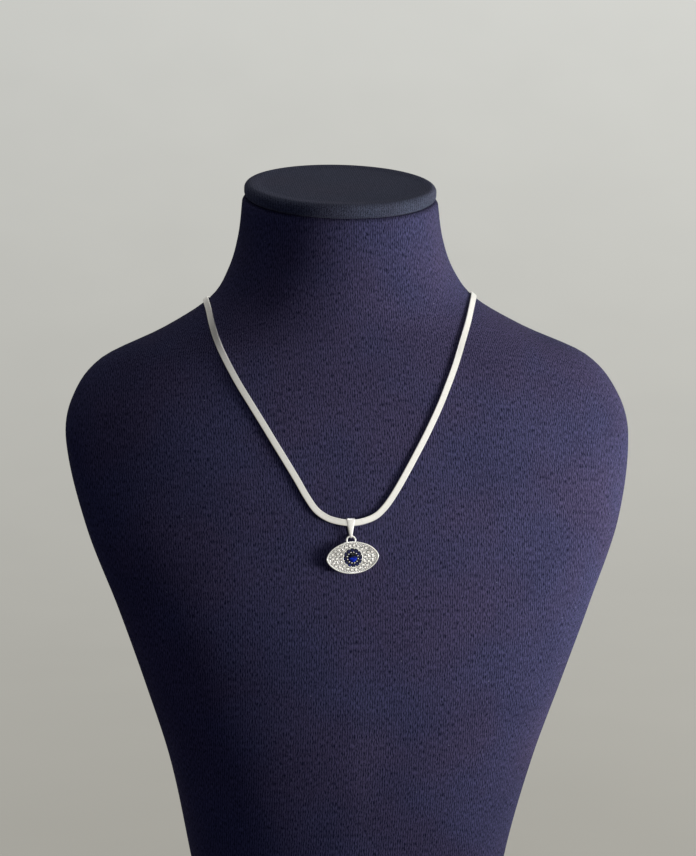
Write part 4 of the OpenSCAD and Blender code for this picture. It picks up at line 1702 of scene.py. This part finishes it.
    def beads(self) -> Piece:
        """Makes the bead prongs between the stones.

        Returns:
            One piece of all prongs.
        """
        places = self.bead_places()
        mesh = bpy.data.meshes.new("bead_prongs")
        mesh.from_pydata([(x * MM, y * MM, level * MM) for x, y, level, _ in places], [], [])
        radius = mesh.attributes.new("bead_radius", "FLOAT", "POINT")
        for item, (_, _, _, size) in zip(radius.data, places):
            item.value = size
        piece = linked("bead_prongs", mesh)
        bead = self.bead()
        values = {"Bead": bead, "Height": self.bead_rise, "Finish": self.finish.material()}
        grow(piece, self.bead_tree(), values)
        discard(bead)
        piece.data.transform(scaled_place(self.place()))
        return piece

    def stone_piece(
        self, name: str, stones: list[Stone], cut: Cut, level: float, finish: StoneFinish
    ) -> Piece:
        """Makes one piece of several cut stones, with flat faces that each have their own tone.

        Args:
            name: The piece's name, which also seeds the faces' tones.
            stones: The stones.
            cut: Their cut.
            level: The height of their girdles in the eye's frame.
            finish: The finish that sets the tones.

        Returns:
            The piece.
        """
        place = self.place()
        chance = random.Random(name)
        points, faces, tones = [], [], {}
        for stone in stones:
            start = len(points)
            middle = Vector((stone.x, stone.y, level))
            corners = stone.placed(cut, level)
            points += [place @ p for p in corners]
            parts = [(p - middle) / stone.diameter for p in corners]
            for face in cut.faces():
                key = tuple(start + i for i in face)
                shades = finish.facet_tones([parts[i] for i in face], chance)
                tones.update(((frozenset(key), corner), shade) for corner, shade in zip(key, shades))
                faces.append(key)
        piece = new_piece(name, points, faces, crease=0)
        piece.data.shade_flat()
        outward(piece)
        values = piece.data.attributes.new(FACET_TONE, "FLOAT", "CORNER")
        for face in piece.data.polygons:
            key = frozenset(face.vertices)
            for loop, corner in zip(face.loop_indices, face.vertices):
                values.data[loop].value = tones[key, corner]
        return piece

    def build(self) -> None:
        """Makes the eye's casting, prongs and stones, and dresses them."""
        self.finish.dress(self.casting(), "eye_frame")
        self.finish.dress(self.beads())
        pave = ("white_stone_field", self.white_stones(), self.cut, self.pave_level, self.white)
        self.white.dress(self.stone_piece(*pave), "pave_stones")
        pupil = ("pupil_cut_stone", [self.pupil()], self.pupil_cut, self.pupil_level, self.royal_blue)
        self.royal_blue.dress(self.stone_piece(*pupil), "pupil_stone")
        for i, stone in enumerate(self.iris_stones(), 1):
            node = f"iris_stone_{i:02d}"
            piece = self.stone_piece(f"{node}_cut", [stone], self.cut, self.iris_level, self.dark_blue)
            self.dark_blue.dress(piece, node)


def scaled_place(place: Matrix) -> Matrix:
    """A place in millimetres, as one for a mesh that is already in metres."""
    moved = place.copy()
    moved.translation = place.translation * MM
    return moved


@dataclass(frozen=True)
class SoftLight:
    """A soft square light beside the bust. Azimuth 0 is the front and 90 the right, in metres."""

    name: str
    azimuth: float
    reach: float
    height: float
    aim: float
    size: float
    watts: float
    spread: float = 180.0
    mirrored: bool = True

    def build(self) -> None:
        """Makes the light and points it at its aim on the bust's middle line."""
        lamp = bpy.data.lights.new(self.name, "AREA")
        lamp.shape = "SQUARE"
        lamp.size = self.size
        lamp.energy = self.watts
        lamp.spread = math.radians(self.spread)
        light = linked(self.name, lamp)
        light.visible_camera = False
        light.visible_glossy = self.mirrored
        light.location = direction(self.azimuth, 0) * self.reach + Vector((0, 0, self.height))
        away = light.location - Vector((0, 0, self.aim))
        light.rotation_euler = away.to_track_quat("Z", "Y").to_euler()


def direction(azimuth: float, elevation: float) -> Vector:
    """The direction from the bust to a viewer: azimuth 0 is the front and 90 the right."""
    return Vector((sin(azimuth) * cos(elevation), -cos(azimuth) * cos(elevation), sin(elevation)))


@dataclass
class Studio:
    """The pale floor that turns up into a round backdrop, the lights and the camera, in metres."""

    floor_radius: float = 0.55
    floor_middle: float = 0.05
    bend_radius: float = 1.35
    wall_height: float = 3.4
    sides: int = 128
    paper_low: Colour = (0.395, 0.383, 0.342)
    paper_high: Colour = (0.69, 0.695, 0.66)
    glow_to: float = 2.5
    right_glow: float = 0.17
    grain_scale: float = 9.0
    grain_share: float = 0.06
    mirrored_left: tuple[float, float] = (-0.8, 0.47)
    mirrored_right: tuple[float, float] = (0.22, 1.38)
    blue_fill: Colour = (0.0, 0.008, 0.075)
    paper_shade: float = 0.12
    paper_bounce: float = 0.02
    air: float = 0.005
    air_colour: Colour = (0.9, 0.93, 1.0)
    camera_azimuth: float = -7.0
    camera_elevation: float = 6.8
    camera_distance: float = 0.8
    camera_target: tuple[float, float, float] = (-0.0013, 0.0, 0.202)
    lens: float = 87.4
    lights: tuple[SoftLight, ...] = (
        SoftLight("back_right", 120, 0.6, 0.12, 0.156, 0.2, 1.6, mirrored=False),
        SoftLight("right_front", 67, 0.71, 0.139, 0.2, 0.3, 0.6, 35, mirrored=False),
        SoftLight("above", 0, 0.25, 1.364, 0.19, 0.4, 1.9),
        SoftLight("window", 50, 1.1, 0.2, 0.16, 0.6, 2.5),
    )

    def backdrop(self) -> None:
        """Makes the floor and backdrop, as one round bowl."""
        bend = [
            (self.floor_radius + self.bend_radius * sin(a), self.bend_radius * (1 - cos(a)))
            for a in even(0, 90, 15)
        ]
        wall = (self.floor_radius + self.bend_radius, self.wall_height)
        profile = [(self.floor_middle, 0), (self.floor_radius / 2, 0), *bend, wall]
        points = [p / MM for p in revolved(profile, self.sides)]
        faces = ring_faces(len(profile), self.sides)
        faces.pop()
        bowl = new_piece("pale_floor", points, [tuple(reversed(face)) for face in faces])
        bowl.data.materials.append(self.paper())

    def paper(self) -> bpy.types.Material:
        """Makes the backdrop's paper.

        Returns:
            A paper that glows, more in the metal's mirror image of its right side, and that
            throws only a faint blue light on the bust.
        """
        made = bpy.data.materials.new("matt_paper")
        made.use_nodes = True
        graph = Graph(made.node_tree)
        paths = graph.add("ShaderNodeLightPath").outputs
        bounced = paths["Is Diffuse Ray"]
        place = graph.place()
        parts = graph.add("ShaderNodeSeparateXYZ", {0: place}).outputs
        away = graph.add("ShaderNodeVectorMath", {0: place}, operation="LENGTH").outputs["Value"]
        # Painted shade and light: the paper is darker at the floor's middle and lighter up the wall, and
        # glows brighter to the right.
        rise = graph.ranged(graph.math("ADD", away, parts["Z"]), 0.0, self.glow_to)
        tone = graph.mixed(rise, self.paper_low, self.paper_high)
        grain = graph.noise(place, self.grain_scale, 2.0)
        strength = graph.layered(1.0, (parts["X"], self.right_glow), (grain, self.grain_share))
        (left, dim), (right, bright) = self.mirrored_left, self.mirrored_right
        window = graph.ranged(parts["X"], left, right, (dim, bright))
        mirrored = graph.add("ShaderNodeMix", {0: paths["Is Glossy Ray"], 2: 1.0, 3: window}).outputs[0]
        shown = graph.scaled(tone, graph.math("MULTIPLY", strength, mirrored))
        thrown = graph.layered(self.paper_shade, (bounced, self.paper_bounce - self.paper_shade))
        shader = made.node_tree.nodes["Principled BSDF"]
        graph.feed(shader, {
            "Base Color": graph.scaled(tone, thrown),
            "Emission Color": graph.mixed(bounced, shown, self.blue_fill),
            "Emission Strength": 1.0 - self.paper_shade,
            "Roughness": 1.0,
            "Specular IOR Level": 0.0,
        })
        return made

    def world(self) -> None:
        """Makes a faint even light from above."""
        sky = bpy.data.worlds.new("studio_air")
        sky.use_nodes = True
        ground = sky.node_tree.nodes["Background"]
        Graph(sky.node_tree).feed(ground, {"Color": self.air_colour, "Strength": self.air})
        bpy.context.scene.world = sky

    def camera(self) -> None:
        """Makes the camera at the photograph's angle."""
        lens = bpy.data.cameras.new("camera")
        lens.lens = self.lens
        lens.clip_start = 0.01
        lens.clip_end = 20
        camera = linked("camera", lens)
        away = direction(self.camera_azimuth, self.camera_elevation)
        camera.location = Vector(self.camera_target) + away * self.camera_distance
        camera.rotation_euler = away.to_track_quat("Z", "Y").to_euler()
        bpy.context.scene.camera = camera

    def build(self) -> None:
        """Makes the whole studio."""
        bpy.context.scene.view_settings.view_transform = "Standard"
        self.camera()
        self.backdrop()
        self.world()
        for light in self.lights:
            light.build()


def main() -> None:
    """Builds the studio, the bust and the necklace in order."""
    logging.basicConfig(level=logging.INFO, format="%(name)s: %(message)s")
    Studio().build()
    bust = NeckBust()
    bust.build()
    NeckCap(bust).build()
    chain = WovenChain(bust)
    chain.build()
    NapeClasp(chain).build()
    bail = Bail(chain)
    bail.build()
    EyeCharm(bail).build()


if __name__ == "__main__":
    main()
